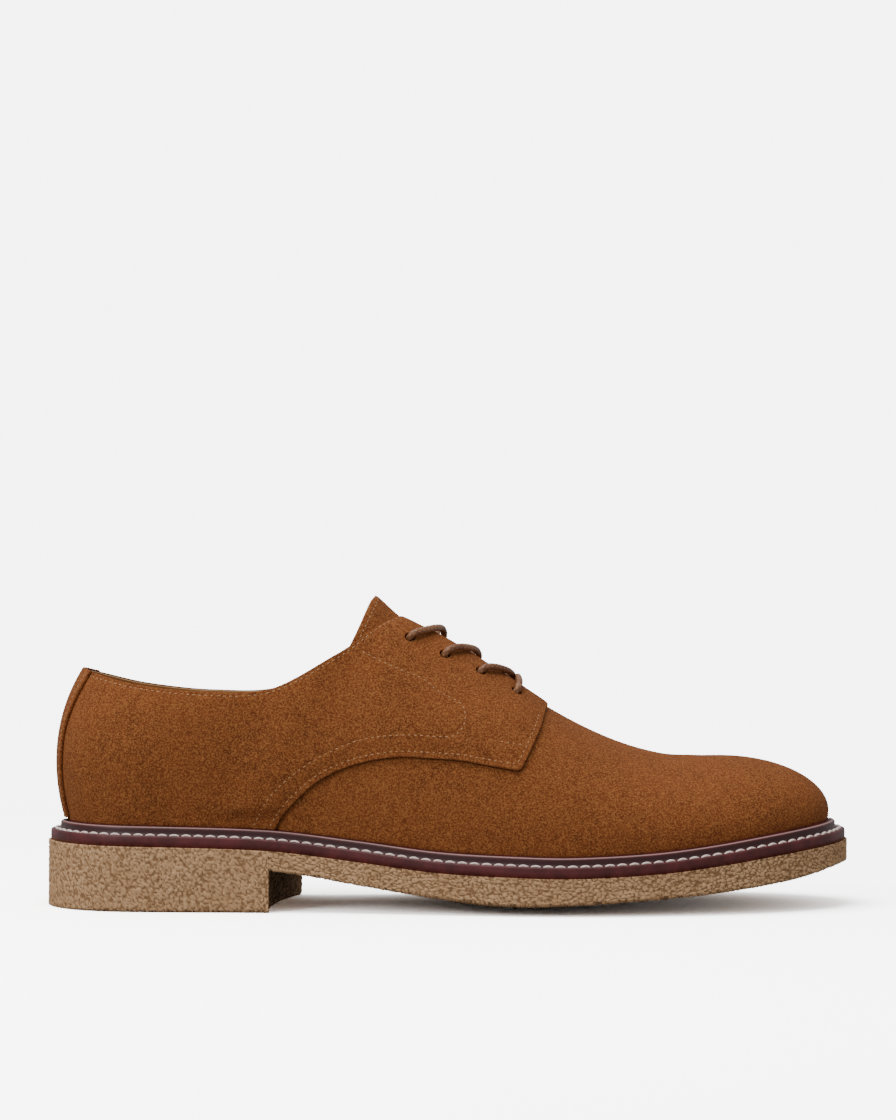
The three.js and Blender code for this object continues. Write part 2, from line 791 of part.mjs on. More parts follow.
for (const [side, name, holes] of [
  [-1, "outer", outerHoles],
  [1, "inner", innerHoles],
]) {
  const seam = locateAll(quarterEdge, side);
  const front = locateAll(quarterFront, side);
  const frontEnd = ribAtTop(31 * gradeX);
  const upper = quarterTop(side, frontEnd);
  front.push(upper.at(-1));
  const seamRib = seam[0][0];
  const lower = [];
  for (let rib = 0; rib < seamRib - 0.2; rib += 0.5) lower.push([rib, -1]);
  lower.push([seamRib - 0.06, -1], [seamRib - 0.03, -0.5], [seamRib - 0.02, 0], ...seam);
  const grid = sideGrid(side, lower, upper, front, 11, 16);
  add(name + "_quarter", punched(upperShell(grid, quarterLevel, suedeThickness), holes), suede);

  const liningRear = locateAll(liningEdge, side);
  const liningLower = [];
  for (let rib = 0; rib < liningFoot; rib += 0.5) liningLower.push([rib, -1]);
  for (const rise of [-1, -0.5, 0, 0.14]) liningLower.push([liningFoot, rise]);
  liningLower.push(...liningRear);
  const liningUpper = quarterTop(side, ribAtTop(25 * gradeX));
  const liningGrid = sideGrid(side, liningLower, liningUpper, null, 8, 10);
  add(
    name + "_quarter_lining",
    punched(upperShell(liningGrid, quarterLiningLevel, liningThickness), holes),
    liningLeather,
  );
}

// Vamp and vamp lining: rows from the hidden rear edge to the toe, columns over the instep
const foldRises = [-1, -0.5, -0.33, -0.16, 0, 0.08];
const wallShares = [0, 0.08, 0.16, 0.25, 0.35, 0.45, 0.55, 0.65, 0.75, 0.87, 1];
function ribAtRise(chain, rise) {
  let i = 0;
  while (i < chain.length - 2 && rise > chain[i + 1][1]) i++;
  const t = (rise - chain[i][1]) / (chain[i + 1][1] - chain[i][1]);
  return mix(chain[i][0], chain[i + 1][0], clamp(t, 0, 1));
}
// One side's columns: where each starts at the rear, and its rise at the toe.
function vampColumns(side, margin, rearLine, throat) {
  const seam = locateAll(quarterEdge, side);
  const rear = [
    [ribAtRise(seam, seamButt) + margin, seamButt],
    ...locateAll(rearLine, side),
    [ribAtTop(throat), 1],
  ];
  const fold = foldRises.map((rise) => ({ rear: [ribAtRise(seam, rise) + margin, rise], toe: rise }));
  const wall = wallShares.map((share) => ({
    rear: alongChain(rear, share),
    toe: mix(seamButt, 1, share),
  }));
  return [...fold, ...wall].map((column) => ({ side, ...column }));
}
function vampGrid(rows, margin, rearLine, throat) {
  const columns = [
    ...vampColumns(-1, margin, rearLine, throat),
    ...vampColumns(1, margin, rearLine, throat).reverse().slice(1),
  ];
  return Array.from({ length: rows + 1 }, (_, i) =>
    columns.map(({ side, rear, toe }) => [
      side * mix(rear[0], toeRib, i / rows),
      mix(rear[1], toe, i / rows),
    ]),
  );
}
const vampMesh = upperShell(vampGrid(16, 0.04, vampRear, throatX), () => 0, suedeThickness, true);
add("vamp", vampMesh, suede);
add(
  "vamp_lining",
  upperShell(vampGrid(12, 0.1, vampLiningRear, tongueSeat), () => liningLevel, liningThickness, true),
  liningLeather,
);
const puffGrid = vampGrid(1, 0, vampRear, throatX)[1];
const puffRibs = [11.3, 12, 12.5, 13, 13.3, 13.6, toeRib];
add(
  "toe_puff",
  upperShell(
    puffRibs.map((rib) => puffGrid.map(([signed, rise]) => [Math.sign(signed) * rib, Math.max(rise, -0.16)])),
    () => stiffenerLevel,
    stiffenerThickness,
    true,
  ),
  stiffenerBoard,
);

// Heel: back strip over the seam, counter inside
const counterRises = [-1, -0.5, -0.33, -0.16, 0, 0.15, 0.3, 0.45, 0.6, counterRise];
const stripGrid = [-0.62, -0.45, -0.3, -0.15, 0, 0.15, 0.3, 0.45, 0.62].map((rib) =>
  [-0.04, 0.1, 0.25, 0.4, 0.55, 0.7, 0.85, 1].map((rise) => [rib * mix(0.85, 1.15, rise), rise]),
);
add("back_strip", upperShell(stripGrid, () => stripThickness + clearance, stripThickness), suede);
const counterRibs = [-1, -0.84, -0.7, -0.56, -0.42, -0.28, -0.14, 0, 0.14, 0.28, 0.42, 0.56, 0.7, 0.84, 1];
add(
  "heel_counter",
  upperShell(
    counterRibs.map((share) =>
      counterRises.map((rise) => [share * counterRib, rise]),
    ),
    () => stiffenerLevel,
    stiffenerThickness,
  ),
  stiffenerBoard,
);

// Tongue: under the vamp at its base, under the laces, and free above the top holes
const facingUnder = liftTop - suedeThickness - curvedClearance - liningThickness;
const laceRadius = laceDiameter / 2;
const laceInside = facingUnder - clearance - laceRadius;
const laceOutside = liftTop + clearance + laceRadius;
const tongueLevel = laceInside - laceRadius - clearance;
const tongueBase = 35 * gradeX;
const tongueHalf = 19 * gradeY;
const tongueAngles = [-90, -72, -54, -36, -18, 0, 18, 36, 54, 72, 90].map(THREE.MathUtils.degToRad);
const tongueRise = [
  [-15, 106.4],
  [-20.5, 111.3],
  [-27.6, 117.9],
];
const tongueSides = [
  [-16, 95],
  [-25, 97.5],
  [-36, 99.5],
];
function tongueRows() {
  const rows = [35, 31, 27, 22, 14, 6, -2, -10].map((x) => {
    const level = mix(-suedeThickness - curvedClearance, tongueLevel, 1 - ramp(x, 27, 33));
    return tongueAngles.map((angle) => {
      const place = pointOver(x * gradeX, tongueHalf * Math.abs(Math.sin(angle)), angle < 0 ? -1 : 1);
      return offLast(...place, level);
    });
  });
  tongueRise.forEach(([x, z], i) => {
    const centre = new THREE.Vector3(x * gradeX, 0, z * gradeZ);
    const edges = [-1, 1].map((side) => {
      const [rib, rise] = locate(tongueSides[i][0] * gradeX, tongueSides[i][1] * gradeZ, side);
      return offLast(side * rib, rise, tongueLevel - 0.6);
    });
    const peak = [0.6, 0.45, 0.15][i];
    rows.push(
      tongueAngles.map((angle) => {
        const edge = edges[angle < 0 ? 0 : 1];
        const drop = mix(1 - Math.cos(angle), Math.abs(Math.sin(angle)), peak);
        const p = centre.clone().lerp(edge, drop);
        p.y = edge.y * Math.abs(Math.sin(angle));
        return p;
      }),
    );
  });
  return rows;
}
// Moves a grid of points along its own normals.
function moved(grid, distance) {
  return grid.map((row, i) =>
    row.map((p, j) => {
      const up = grid[Math.min(i + 1, grid.length - 1)][j].clone().sub(grid[Math.max(i - 1, 0)][j]);
      const across = row[Math.min(j + 1, row.length - 1)].clone().sub(row[Math.max(j - 1, 0)]);
      return p.clone().addScaledVector(across.cross(up).normalize(), distance);
    }),
  );
}
const tongueGrid = tongueRows();
const tongueLiningTop = -suedeThickness - clearance;
add("tongue", shellBetween(tongueGrid, moved(tongueGrid, -suedeThickness)), suede);
add(
  "tongue_lining",
  shellBetween(moved(tongueGrid, tongueLiningTop), moved(tongueGrid, tongueLiningTop - liningThickness)),
  liningLeather,
);

// The lace: a bar across the lowest pair of holes, then crossings up to the top pair
class LacePath extends THREE.CatmullRomCurve3 {
  // Steps go from point to point, so that bends get short steps and straights long ones.
  getUtoTmapping(u) {
    return u;
  }
}
// Each crossing runs from inside one facing, up through the gap and over the other facing.
// Pairs are the width from the middle, towards the side it leaves, and the level.
const downHole = [
  [holeHalf, 0.8],
  [holeHalf, -0.9],
  [holeHalf - 0.6, laceInside + 0.4],
  [holeHalf - 2.1, laceInside],
  [half, laceInside],
];
const overFacing = [
  [-half, laceOutside + 0.2],
  [-holeHalf + 2.1, laceOutside + 0.2],
  [-holeHalf + 0.6, laceOutside - 0.1],
  [-holeHalf, laceOutside - 1.8],
];
const early = [...downHole, [5.2, -1], [3.8, 1], [2, 2.4], [0, 3], [-3, 3.8], ...overFacing];
const late = [
  ...downHole,
  [3.9, -1.9],
  [2, -1.4],
  [0, -0.9],
  [-2.4, -0.6],
  [-4.5, 0.9],
  [-5.6, 3],
  ...overFacing,
];
const bar = [
  ...overFacing.map(([width, level]) => [-width, level]).reverse(),
  [0, laceOutside - 0.6],
  ...overFacing,
];
// A cord crosses the gap almost square and runs aslant over the facing to its hole.
const aslant = through(
  [
    [-holeHalf, 1],
    [-(holeHalf + half) / 2, 0.66],
    [-half, 0.36],
    [0, 0.2],
    [half, 0.08],
    [holeHalf, 0],
  ],
  1,
  1,
);
function crossing(side, from, to, pairs) {
  const [startX, endX] = [from, to].map((k) => firstHole + k * holeStep);
  return pairs.map(([width, level]) => {
    const share = aslant(width);
    const y = side * width;
    const place = pointOver(mix(startX, endX, share), Math.abs(y), y < 0 ? -1 : 1);
    return offLast(...place, level);
  });
}
// The ends go down inside the quarter and lie along the edge of the sock.
function onSock(side, rib) {
  const inset = 4.2 + Math.max(0, rib - 9);
  const p = outlineAt(side * rib, insideLevel - inset);
  p.z = sockHigh(rail(0, side * rib).x) + clearance + agletDiameter / 2;
  return p;
}
function laceEnd(side) {
  const hole = side < 0 ? outerHoles[0] : innerHoles[0];
  const [holeRib, holeRise] = pointOver(firstHole, holeHalf, side);
  const rib = Math.abs(holeRib);
  const down = [0.8, -0.9].map((level) => hole.point.clone().addScaledVector(hole.normal, level));
  const wall = [
    [0.02, -0.03, laceInside + 0.3],
    [0.03, -0.08, laceInside],
    [0.06, -0.17, laceInside],
    [0.1, -0.24, laceInside - 1],
    [0.15, -0.31, laceInside - 3.4],
    [0.25, -0.39, laceInside - 5.2],
    [0.45, -0.48, laceInside - 5.8],
    [0.75, -0.57, laceInside - 6],
    [1.1, -0.65, laceInside - 6],
  ].map(([ribStep, riseStep, level]) => offLast(side * (rib + ribStep), holeRise + riseStep, level));
  const resting = [1.7, 2.2, 2.8, 3.4, 4].map((step) => onSock(side, rib + step));
  return [...down, ...wall, ...resting];
}
function lacePoints() {
  const halves = [1, -1].map((start) => {
    const points = [];
    let side = start;
    for (let k = holesPerSide - 1; k > 0; k--) {
      points.push(...crossing(side, k, k - 1, side > 0 ? early : late));
      side = -side;
    }
    return [...points, ...laceEnd(side)];
  });
  const middle = crossing(-1, holesPerSide - 1, holesPerSide - 1, bar);
  const points = [...halves[1].reverse(), ...middle, ...halves[0]];
  return points.filter((p, i) => i === 0 || p.distanceTo(points[i - 1]) > 0.3);
}
function polygon(radius, sides) {
  return new THREE.Shape(
    Array.from({ length: sides }, (_, i) => {
      const turn = (2 * Math.PI * i) / sides;
      return new THREE.Vector2(radius * Math.cos(turn), radius * Math.sin(turn));
    }),
  );
}
function cordSolid(points, radius, sides) {
  const geometry = new THREE.ExtrudeGeometry(polygon(radius, sides), {
    steps: points.length - 1,
    bevelEnabled: false,
    extrudePath: new LacePath(points, false, "centripetal"),
  });
  geometry.deleteAttribute("normal");
  geometry.deleteAttribute("uv");
  return mergeVertices(geometry, 1e-4);
}
const laceRoute = lacePoints();
add("lace", cordSolid(laceRoute, laceRadius, 8), laceCotton);

function aglet(end, before) {
  const along = end.clone().sub(before);
  along.z += 0.04 * along.length(); // the sock curves up towards the toe
  along.normalize();
  const geometry = new THREE.CylinderGeometry(agletDiameter / 2, agletDiameter / 2, agletLength, 10);
  geometry.deleteAttribute("normal");
  geometry.deleteAttribute("uv");
  geometry.applyQuaternion(
    new THREE.Quaternion().setFromUnitVectors(new THREE.Vector3(0, 1, 0), along),
  );
  const centre = end.clone().addScaledVector(along, clearance + agletLength / 2);
  geometry.translate(...centre.toArray());
  return mergeVertices(geometry, 1e-4);
}
const ends = [laceRoute.slice(0, 2), laceRoute.slice(-2).reverse()];
for (const [end, before] of ends) {
  add(end.y < 0 ? "outer_aglet" : "inner_aglet", aglet(end, before), agletPlastic);
}

// The last is drawn about its own middle, so the shoe is moved to stand centred on the origin.
const footprint = new THREE.Box3().setFromObject(soleMesh).getCenter(new THREE.Vector3());
shoe.position.set(-footprint.x, -footprint.y, 0);
shoe.updateMatrixWorld(true);
export default shoe;
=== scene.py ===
# A brown suede derby shoe for the right foot, on a storm welt and a crepe sole, in a pale studio.
# The frame is in metres, with the origin on the ground under the middle of the sole, +X to the toe,
# -Y to the outer side of the foot and +Z up. The pieces are drawn in millimetres on the last's own
# middle, and to_frame() brings them into the frame.
import math

import bpy
import numpy as np
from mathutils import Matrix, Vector, kdtree, noise
from mathutils.geometry import delaunay_2d_cdt


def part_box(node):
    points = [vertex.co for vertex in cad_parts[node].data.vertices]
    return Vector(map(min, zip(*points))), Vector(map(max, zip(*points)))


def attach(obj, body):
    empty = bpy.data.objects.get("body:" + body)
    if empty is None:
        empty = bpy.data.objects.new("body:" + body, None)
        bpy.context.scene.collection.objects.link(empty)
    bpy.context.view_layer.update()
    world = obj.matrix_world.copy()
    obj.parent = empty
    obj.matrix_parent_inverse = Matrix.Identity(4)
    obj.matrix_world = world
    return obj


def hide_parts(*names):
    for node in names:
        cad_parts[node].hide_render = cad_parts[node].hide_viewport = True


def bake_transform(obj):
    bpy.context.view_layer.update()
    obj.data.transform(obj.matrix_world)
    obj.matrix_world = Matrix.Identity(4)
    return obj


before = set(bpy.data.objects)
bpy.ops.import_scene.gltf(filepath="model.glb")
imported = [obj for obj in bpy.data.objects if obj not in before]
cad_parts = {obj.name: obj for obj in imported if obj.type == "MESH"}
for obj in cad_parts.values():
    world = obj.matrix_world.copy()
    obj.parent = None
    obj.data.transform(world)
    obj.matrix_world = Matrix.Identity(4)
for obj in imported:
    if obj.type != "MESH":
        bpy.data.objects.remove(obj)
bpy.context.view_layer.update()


# Camera: level with the shoe, a metre away on the outer side, tipped up a little.
# The long lens keeps the sole's lines almost level.
camera_distance = 1.005
camera_height = 0.0985
camera_tip = math.radians(1.86)
camera_lens = 84.3

camera = bpy.data.objects.new("camera", bpy.data.cameras.new("camera"))
camera.data.lens = camera_lens
camera.data.sensor_width = 36
camera.data.clip_start = 0.05
camera.data.clip_end = 60
camera.location = (0, -camera_distance, camera_height)
camera.rotation_euler = (math.pi / 2 + camera_tip, 0, 0)
bpy.context.scene.collection.objects.link(camera)
bpy.context.scene.camera = camera


# Lace: one round cord of braided waxed cotton, threaded through the punched holes with a bar over the
# lowest pair and crossings above it. Both ends are tucked down inside the quarters onto the sock.

# It lies on the upper, so the last that the upper is pulled over comes first. Ribs from heel to toe
# carry four rails. A point of the upper is given by its rib number, negative on the outer side, and by
# its rise from 0 at the welt to 1 at the top; below 0 the upper turns under the insole.
# Each rib is plan x, half width outside, half width inside and top x.
RIBS = np.array(
    [
        (-145.5, 0, 0, -138.5),
        (-139, 16.5, 15.5, -133),
        (-124, 26.5, 25.5, -117),
        (-100, 29.5, 28.5, -92),
        (-72, 31, 28.5, -66),
        (-44, 34, 28.5, -42),
        (-16, 38.5, 31, -24),
        (10, 43, 36, -12),
        (36, 46.5, 41.5, 12),
        (60, 46.5, 45, 38),
        (84, 43.5, 44.5, 60),
        (106, 38, 39.5, 79),
        (125, 29.5, 31, 92),
        (139.5, 16.5, 17.5, 100),
        (145.4, -1, 1, 103),
    ],
    float,
)
TOE = len(RIBS) - 1
FOLD_RADIUS = 5
LASTING_MARGIN = 6
LIP_HEIGHT = 3


def through(pairs):
    """A smooth curve through (position, value) pairs, straight beyond its ends."""
    xs, ys = np.array(pairs, float).T
    slopes = np.gradient(ys, np.arange(len(ys))) / np.gradient(xs, np.arange(len(xs)))

    def value(x):
        x = np.asarray(x, float)
        i = np.clip(np.searchsorted(xs, x) - 1, 0, len(xs) - 2)
        span = xs[i + 1] - xs[i]
        t = np.clip((x - xs[i]) / span, 0, 1)
        s = t * t * (3 - 2 * t)
        inside = ys[i] * (1 - s) + ys[i + 1] * s
        inside = inside + span * t * (1 - t) * ((1 - t) * slopes[i] - t * slopes[i + 1])
        before = np.minimum(x - xs[0], 0) * slopes[0]
        after = np.maximum(x - xs[-1], 0) * slopes[-1]
        return inside + before + after

    return value


lip_top = through(
    [(-146, 32.1), (-133, 31.6), (-68, 30), (-35, 26.5), (-3, 22.6), (26, 21.2), (46, 20.9)]
    + [(75, 22.4), (96, 24.8), (117, 28), (145, 32.2)]
)
top_height = through(
    [(-139.5, 90), (-128, 86.5), (-114, 83.5), (-95, 81.5), (-80, 81), (-68, 82), (-57, 85.5)]
    + [(-45, 92.5), (-36.5, 99.3), (-24, 105.8), (-16, 108.9), (-12, 107), (0, 100.1), (12, 92.4)]
    + [(24.5, 84.6), (37.5, 75.4), (54.4, 66.5), (68.8, 60.3), (84.2, 57), (99.6, 56.6), (104, 56.6)]
)


def ramp(x, low, high):
    t = np.clip((np.asarray(x, float) - low) / (high - low), 0, 1)
    return t * t * (3 - 2 * t)


def mix(a, b, t):
    return a * (1 - t) + b * t


def unit(v):
    return v / np.maximum(np.linalg.norm(v, axis=-1, keepdims=True), 1e-9)


def opening_half(x):
    """Half width of the foot opening, an ellipse that closes into the ridge of the instep."""
    share = (x + 77.75) / 61.75
    return 30 * math.sqrt(max(0, 1 - share * share))


def rib_points(signed):
    """Control points of one rib: at the welt, low and high on the wall, and at the top."""
    side = -1 if signed < 0 else 1
    x, outside, inside, top_x = RIBS[abs(signed)]
    is_heel, is_toe = signed == 0, abs(signed) == TOE
    foot_y = RIBS[TOE][2] if is_toe else (-outside if side < 0 else inside)
    foot = np.array([x, foot_y, lip_top(x) + FOLD_RADIUS - LIP_HEIGHT])
    top = np.array([top_x, 0 if is_heel else side * opening_half(top_x), top_height(top_x)])
    rise = top[2] - foot[2]
    out = np.array([-1.0 if is_heel else 1.0, 0, 0])
    if not is_heel and not is_toe:
        column = 1 if side < 0 else 2
        along = RIBS[abs(signed) + 1] - RIBS[abs(signed) - 1]
        out = unit(np.array([-along[column], side * along[0], 0]))
    heel = 1 - ramp(x, -145, -105)
    toe = ramp(x, 60, 145)
    low = foot + out * mix(mix(3, 5.5, heel), 1.6, toe)
    low[2] += rise * mix(mix(0.42, 0.345, heel), 0.53, toe)
    wall = top + out * mix(4.5, 10.5, heel)
    wall[2] -= rise * 0.3
    inward = np.array([foot[0] - top[0], foot[1] - top[1], 0])
    reach = np.linalg.norm(inward) * mix(0.44, 0.59, toe)
    inward = unit(inward)
    slope = (top_height(top_x + 1) - top_height(top_x - 1)) / 2
    ridge = top + inward * reach + np.array([0, 0, slope * inward[0] * reach])
    return np.array([foot, low, mix(wall, ridge, ramp(top_x, -45, -12)), top])


RAILS = np.array([rib_points(i) for i in range(-TOE, TOE)]).transpose(1, 0, 2)


def curve_through(a, b, c, d, t):
    """The smooth curve from b to c, shaped by the points before and after them."""
    bend = 2 * a - 5 * b + 4 * c - d
    twist = 3 * b - a - 3 * c + d
    return 0.5 * (2 * b + (c - a) * t + bend * t**2 + twist * t**3)


def rail(k, rib):
    """A closed smooth curve through one control point of every rib."""
    turn = (np.asarray(rib, float) + TOE) % (2 * TOE)
    i = np.floor(turn).astype(int)
    t = (turn - i)[..., None]
    return curve_through(*(RAILS[k][(i + step) % (2 * TOE)] for step in (-1, 0, 1, 2)), t)


def outward_at(rib):
    along = rail(0, rib + 0.02) - rail(0, rib - 0.02)
    return unit(np.stack([-along[..., 1], along[..., 0], np.zeros_like(along[..., 0])], -1))


def last_point(rib, rise):
    """Points of the last; each rib's wall is a curve with four control points."""
    rib, rise = np.broadcast_arrays(np.asarray(rib, float), np.asarray(rise, float))
    t = np.clip(rise, 0, 1)[..., None]
    f = 1 - t
    wall = rail(0, rib) * f**3 + rail(1, rib) * 3 * f * f * t
    wall = wall + rail(2, rib) * 3 * f * t * t + rail(3, rib) * t**3
    under = np.maximum(-rise, 0) * 2
    turn = np.minimum(under, 1) * math.pi / 2
    inward = FOLD_RADIUS * (1 - np.cos(turn)) + LASTING_MARGIN * np.maximum(under - 1, 0)
    wall = wall - outward_at(rib) * inward[..., None]
    wall[..., 2] -= FOLD_RADIUS * np.sin(turn)
    return wall


def last_normal(rib, rise):
    rib, rise = np.broadcast_arrays(np.asarray(rib, float), np.asarray(rise, float))
    r = np.minimum(rise, 0.98)
    up = last_point(rib, r + 0.01) - last_point(rib, r - 0.01)
    along = last_point(rib + 0.01, r) - last_point(rib - 0.01, r)
    return unit(np.cross(up, along))


def off_last(rib, rise, level):
    level = np.asarray(level, float)[..., None]
    return last_point(rib, rise) + last_normal(rib, rise) * level


def halved(low, high, below):
    """The place where below() turns from true to false, by halving."""
    for _ in range(26):
        middle = (low + high) / 2
        is_below = below(middle)
        low, high = np.where(is_below, middle, low), np.where(is_below, high, middle)
    return low


def rise_at_half(signed_rib, half):
    start = np.full(np.shape(signed_rib), 0.5)
    return halved(start, np.ones_like(start), lambda r: np.abs(last_point(signed_rib, r)[..., 1]) > half)


def point_over(x, half, side):
    """Rib number, with its sign, and rise of the points over x at this half width."""
    x, half, side = (np.asarray(v, float) for v in np.broadcast_arrays(x, half, side))

    def is_behind(rib):
        return last_point(side * rib, rise_at_half(side * rib, half))[..., 0] < x

    rib = side * halved(np.full(x.shape, 4.0), np.full(x.shape, TOE - 1.0), is_behind)
    return rib, rise_at_half(rib, half)


def smooth_line(points, spacing):
    """Points evenly spaced along a smooth curve through the given ones."""
    p = np.array(points, float)
    p = np.concatenate([[2 * p[0] - p[1]], p, [2 * p[-1] - p[-2]]])
    t = np.linspace(0, 1, 24, endpoint=False)[:, None]
    runs = []
    for four in zip(p[:-3], p[1:-2], p[2:-1], p[3:]):
        runs.append(curve_through(*four, t))
    return evenly(np.concatenate([*runs, p[-2:-1]]), spacing)


def evenly(line, spacing):
    steps = np.linalg.norm(np.diff(line, axis=0), axis=1)
    along = np.concatenate([[0], np.cumsum(steps)])
    count = max(2, int(round(along[-1] / spacing)) + 1)
    at = np.linspace(0, along[-1], count)
    return np.stack([np.interp(at, along, line[:, k]) for k in range(line.shape[1])], -1)


# The facings stop half a gap from the ridge, and four holes run down each. The holes are 15.3 mm
# apart along the facing, which slopes, so their step along x is shorter.
HALF_GAP = 7.5
HOLE_HALF = HALF_GAP + 9.4
FIRST_HOLE = -15.1
HOLE_STEP = 15.3 * 0.87
HOLES = 4
# Thickness of the layers that the cord goes through. LIFT is how far the quarter stands off the last.
SUEDE = 1.5
LIFT = 2.2
LINING = 0.9
STIFFENER = 0.9
LAYER_GAP = 0.7
CLEAR = 0.4
hole_xs = FIRST_HOLE + HOLE_STEP * np.arange(HOLES)

# Every mesh is placed by the middle of the CAD sole, whose outline is the last's own moved outward.
SOLE_REACH = 6.9
outline_ribs = np.linspace(-TOE, TOE, 800)
outline = rail(0, outline_ribs) + outward_at(outline_ribs) * SOLE_REACH
sole_low, sole_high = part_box("crepe_sole")
shift = np.array((sole_low + sole_high) / 2) * 1000 - (outline.min(0) + outline.max(0)) / 2
shift[2] = 0


def to_frame(points):
    return (np.asarray(points).reshape(-1, 3) + shift) / 1000


def make_mesh(name, points, faces, material, nodes, body="shoe", smooth=True):
    """One shown piece from points in millimetres, standing for the CAD nodes named."""
    data = bpy.data.meshes.new(name)
    data.from_pydata(to_frame(points).tolist(), [], [list(map(int, f)) for f in faces])
    data.validate()
    data.polygons.foreach_set("use_smooth", [smooth] * len(data.polygons))
    data.materials.append(material)
    made = bpy.data.objects.new(name, data)
    bpy.context.scene.collection.objects.link(made)
    if body:
        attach(made, body)
    if nodes:
        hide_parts(*nodes)
    return made


def grid_faces(rows, columns, start=0, wrap=False):
    """Faces of a grid of points numbered row by row; wrap joins the last column to the first."""
    i, j = np.meshgrid(np.arange(rows - 1), np.arange(columns if wrap else columns - 1), indexing="ij")
    k = (j + 1) % columns
    a, b, c, d = i * columns + j, i * columns + k, (i + 1) * columns + k, (i + 1) * columns + j
    return (np.stack([a, b, c, d], -1).reshape(-1, 4) + start).tolist()


def facing_out(points, faces):
    """The faces turned so that a closed mesh has its outside outside."""
    p = np.asarray(points)
    volume = 0.0
    for f in faces:
        for k in range(1, len(f) - 1):
            volume += np.dot(p[f[0]], np.cross(p[f[k]], p[f[k + 1]]))
    return faces if volume > 0 else [f[::-1] for f in faces]


def linear(colour):
    """An sRGB hex colour as linear light."""
    channels = [int(colour[i : i + 2], 16) / 255 for i in (1, 3, 5)]
    return (*[c / 12.92 if c <= 0.04045 else ((c + 0.055) / 1.055) ** 2.4 for c in channels], 1)


def add_node(tree, kind, output, inputs=None, **settings):
    """Adds a node with its settings, and with values or links for its inputs; gives one output."""
    made = tree.nodes.new("ShaderNode" + kind)
    for key, value in settings.items():
        setattr(made, key, value)
    for socket, value in (inputs or {}).items():
        if isinstance(value, bpy.types.NodeSocket):
            tree.links.new(value, made.inputs[socket])
        else:
            made.inputs[socket].default_value = value
    return made.outputs[output]


def new_material(name, **values):
    """A material with its Principled surface, and the object coordinates in millimetres."""
    made = bpy.data.materials.new(name)
    made.use_nodes = True
    tree = made.node_tree
    surface = tree.nodes["Principled BSDF"]
    for socket, value in values.items():
        surface.inputs[socket.replace("_", " ")].default_value = value
    place = add_node(tree, "TexCoord", "Object")
    in_mm = add_node(tree, "VectorMath", "Vector", {0: place, 3: 1000.0}, operation="SCALE")
    return made, tree, surface, in_mm


# Settings that many nodes share: a soft step between two values, and a mix of two colours.
SOFT = {"interpolation_type": "SMOOTHSTEP"}
COLOUR = {"data_type": "RGBA"}

# Each crossing runs from inside one facing up through the gap and over the other. Its points are the
# width from the ridge and the level over the last.
LACE = 2.6
facing_under = LIFT - SUEDE - LAYER_GAP - LINING
lace_inside = facing_under - CLEAR - LACE / 2
lace_outside = LIFT + CLEAR + LACE / 2
down_hole = [
    (HOLE_HALF, 0.8),
    (HOLE_HALF, -0.9),
    (HOLE_HALF - 0.6, lace_inside + 0.4),
    (HOLE_HALF - 2.1, lace_inside),
    (HALF_GAP, lace_inside),
]
over_facing = [
    (-HALF_GAP, lace_outside - 0.3),
    (-HALF_GAP - 4, lace_outside + 0.1),
    (-HOLE_HALF + 2.4, lace_outside + 0.2),
    (-HOLE_HALF + 0.6, lace_outside - 0.3),
    (-HOLE_HALF, lace_outside - 1.8),
]
early = down_hole + [(5.2, -1), (3.8, 0.5), (2, 1.6), (0, 2.4), (-3, 3)] + over_facing
late = down_hole + [(3.9, -1.9), (2, -1.4), (0, -0.9), (-2.4, -0.6), (-4.5, 0.9), (-5.6, 3)] + over_facing
bar = [(-width, level) for width, level in over_facing[::-1]] + [(0, lace_outside - 0.6)] + over_facing


# A cord crosses the gap almost square and runs aslant over the facing to its hole.
aslant = through(
    [(-HOLE_HALF, 1), (-(HOLE_HALF + HALF_GAP) / 2, 0.62), (-HALF_GAP, 0.33), (0, 0.1), (3.5, 0.02)]
    + [(HOLE_HALF, 0)]
)


def crossing(side, start, end, pairs):
    """Points of one crossing; pairs are the width towards the side it leaves, and the level."""
    width, level = np.array(pairs, float).T
    share = aslant(width)
    y = side * width
    place = point_over(mix(hole_xs[start], hole_xs[end], share), np.abs(y), np.where(y < 0, -1, 1))
    return off_last(*place, level)


# The inside of the lining, and the heights of the layers underfoot.
INSIDE = -SUEDE - STIFFENER - LINING - 3 * LAYER_GAP
BOARD = 2.5
SOCK = 1.4


def sock_low(x):
    return lip_top(x) - LIP_HEIGHT - INSIDE + CLEAR + BOARD + CLEAR


def sock_high(x):
    return sock_low(x) + SOCK


def lace_end(side):
    """Down through the top hole, down the inside of the quarter and along the sock."""
    rib, rise = (float(v) for v in point_over(FIRST_HOLE, HOLE_HALF, side))
    point, normal = last_point(rib, rise), last_normal(rib, rise)
    down = [point + normal * level for level in (0.8, -0.9)]
    wall = [
        (0.02, -0.03, lace_inside + 0.3),
        (0.03, -0.08, lace_inside),
        (0.06, -0.17, lace_inside),
        (0.1, -0.24, lace_inside - 1),
        (0.15, -0.31, lace_inside - 3.4),
        (0.25, -0.39, lace_inside - 5.2),
        (0.45, -0.48, lace_inside - 5.8),
        (0.75, -0.57, lace_inside - 6),
        (1.1, -0.65, lace_inside - 6),
    ]
    wall = [off_last(rib + side * step, rise + fall, level) for step, fall, level in wall]
    resting = []
    for step in (1.7, 2.2, 2.8, 3.4, 4):
        at = abs(rib) + step
        p = rail(0, side * at) + outward_at(side * at) * (INSIDE - 4.2 - max(0, at - 9))
        p[2] = sock_high(rail(0, side * at)[0]) + CLEAR + 1.5
        resting.append(p)
    return np.array(down + wall + resting)


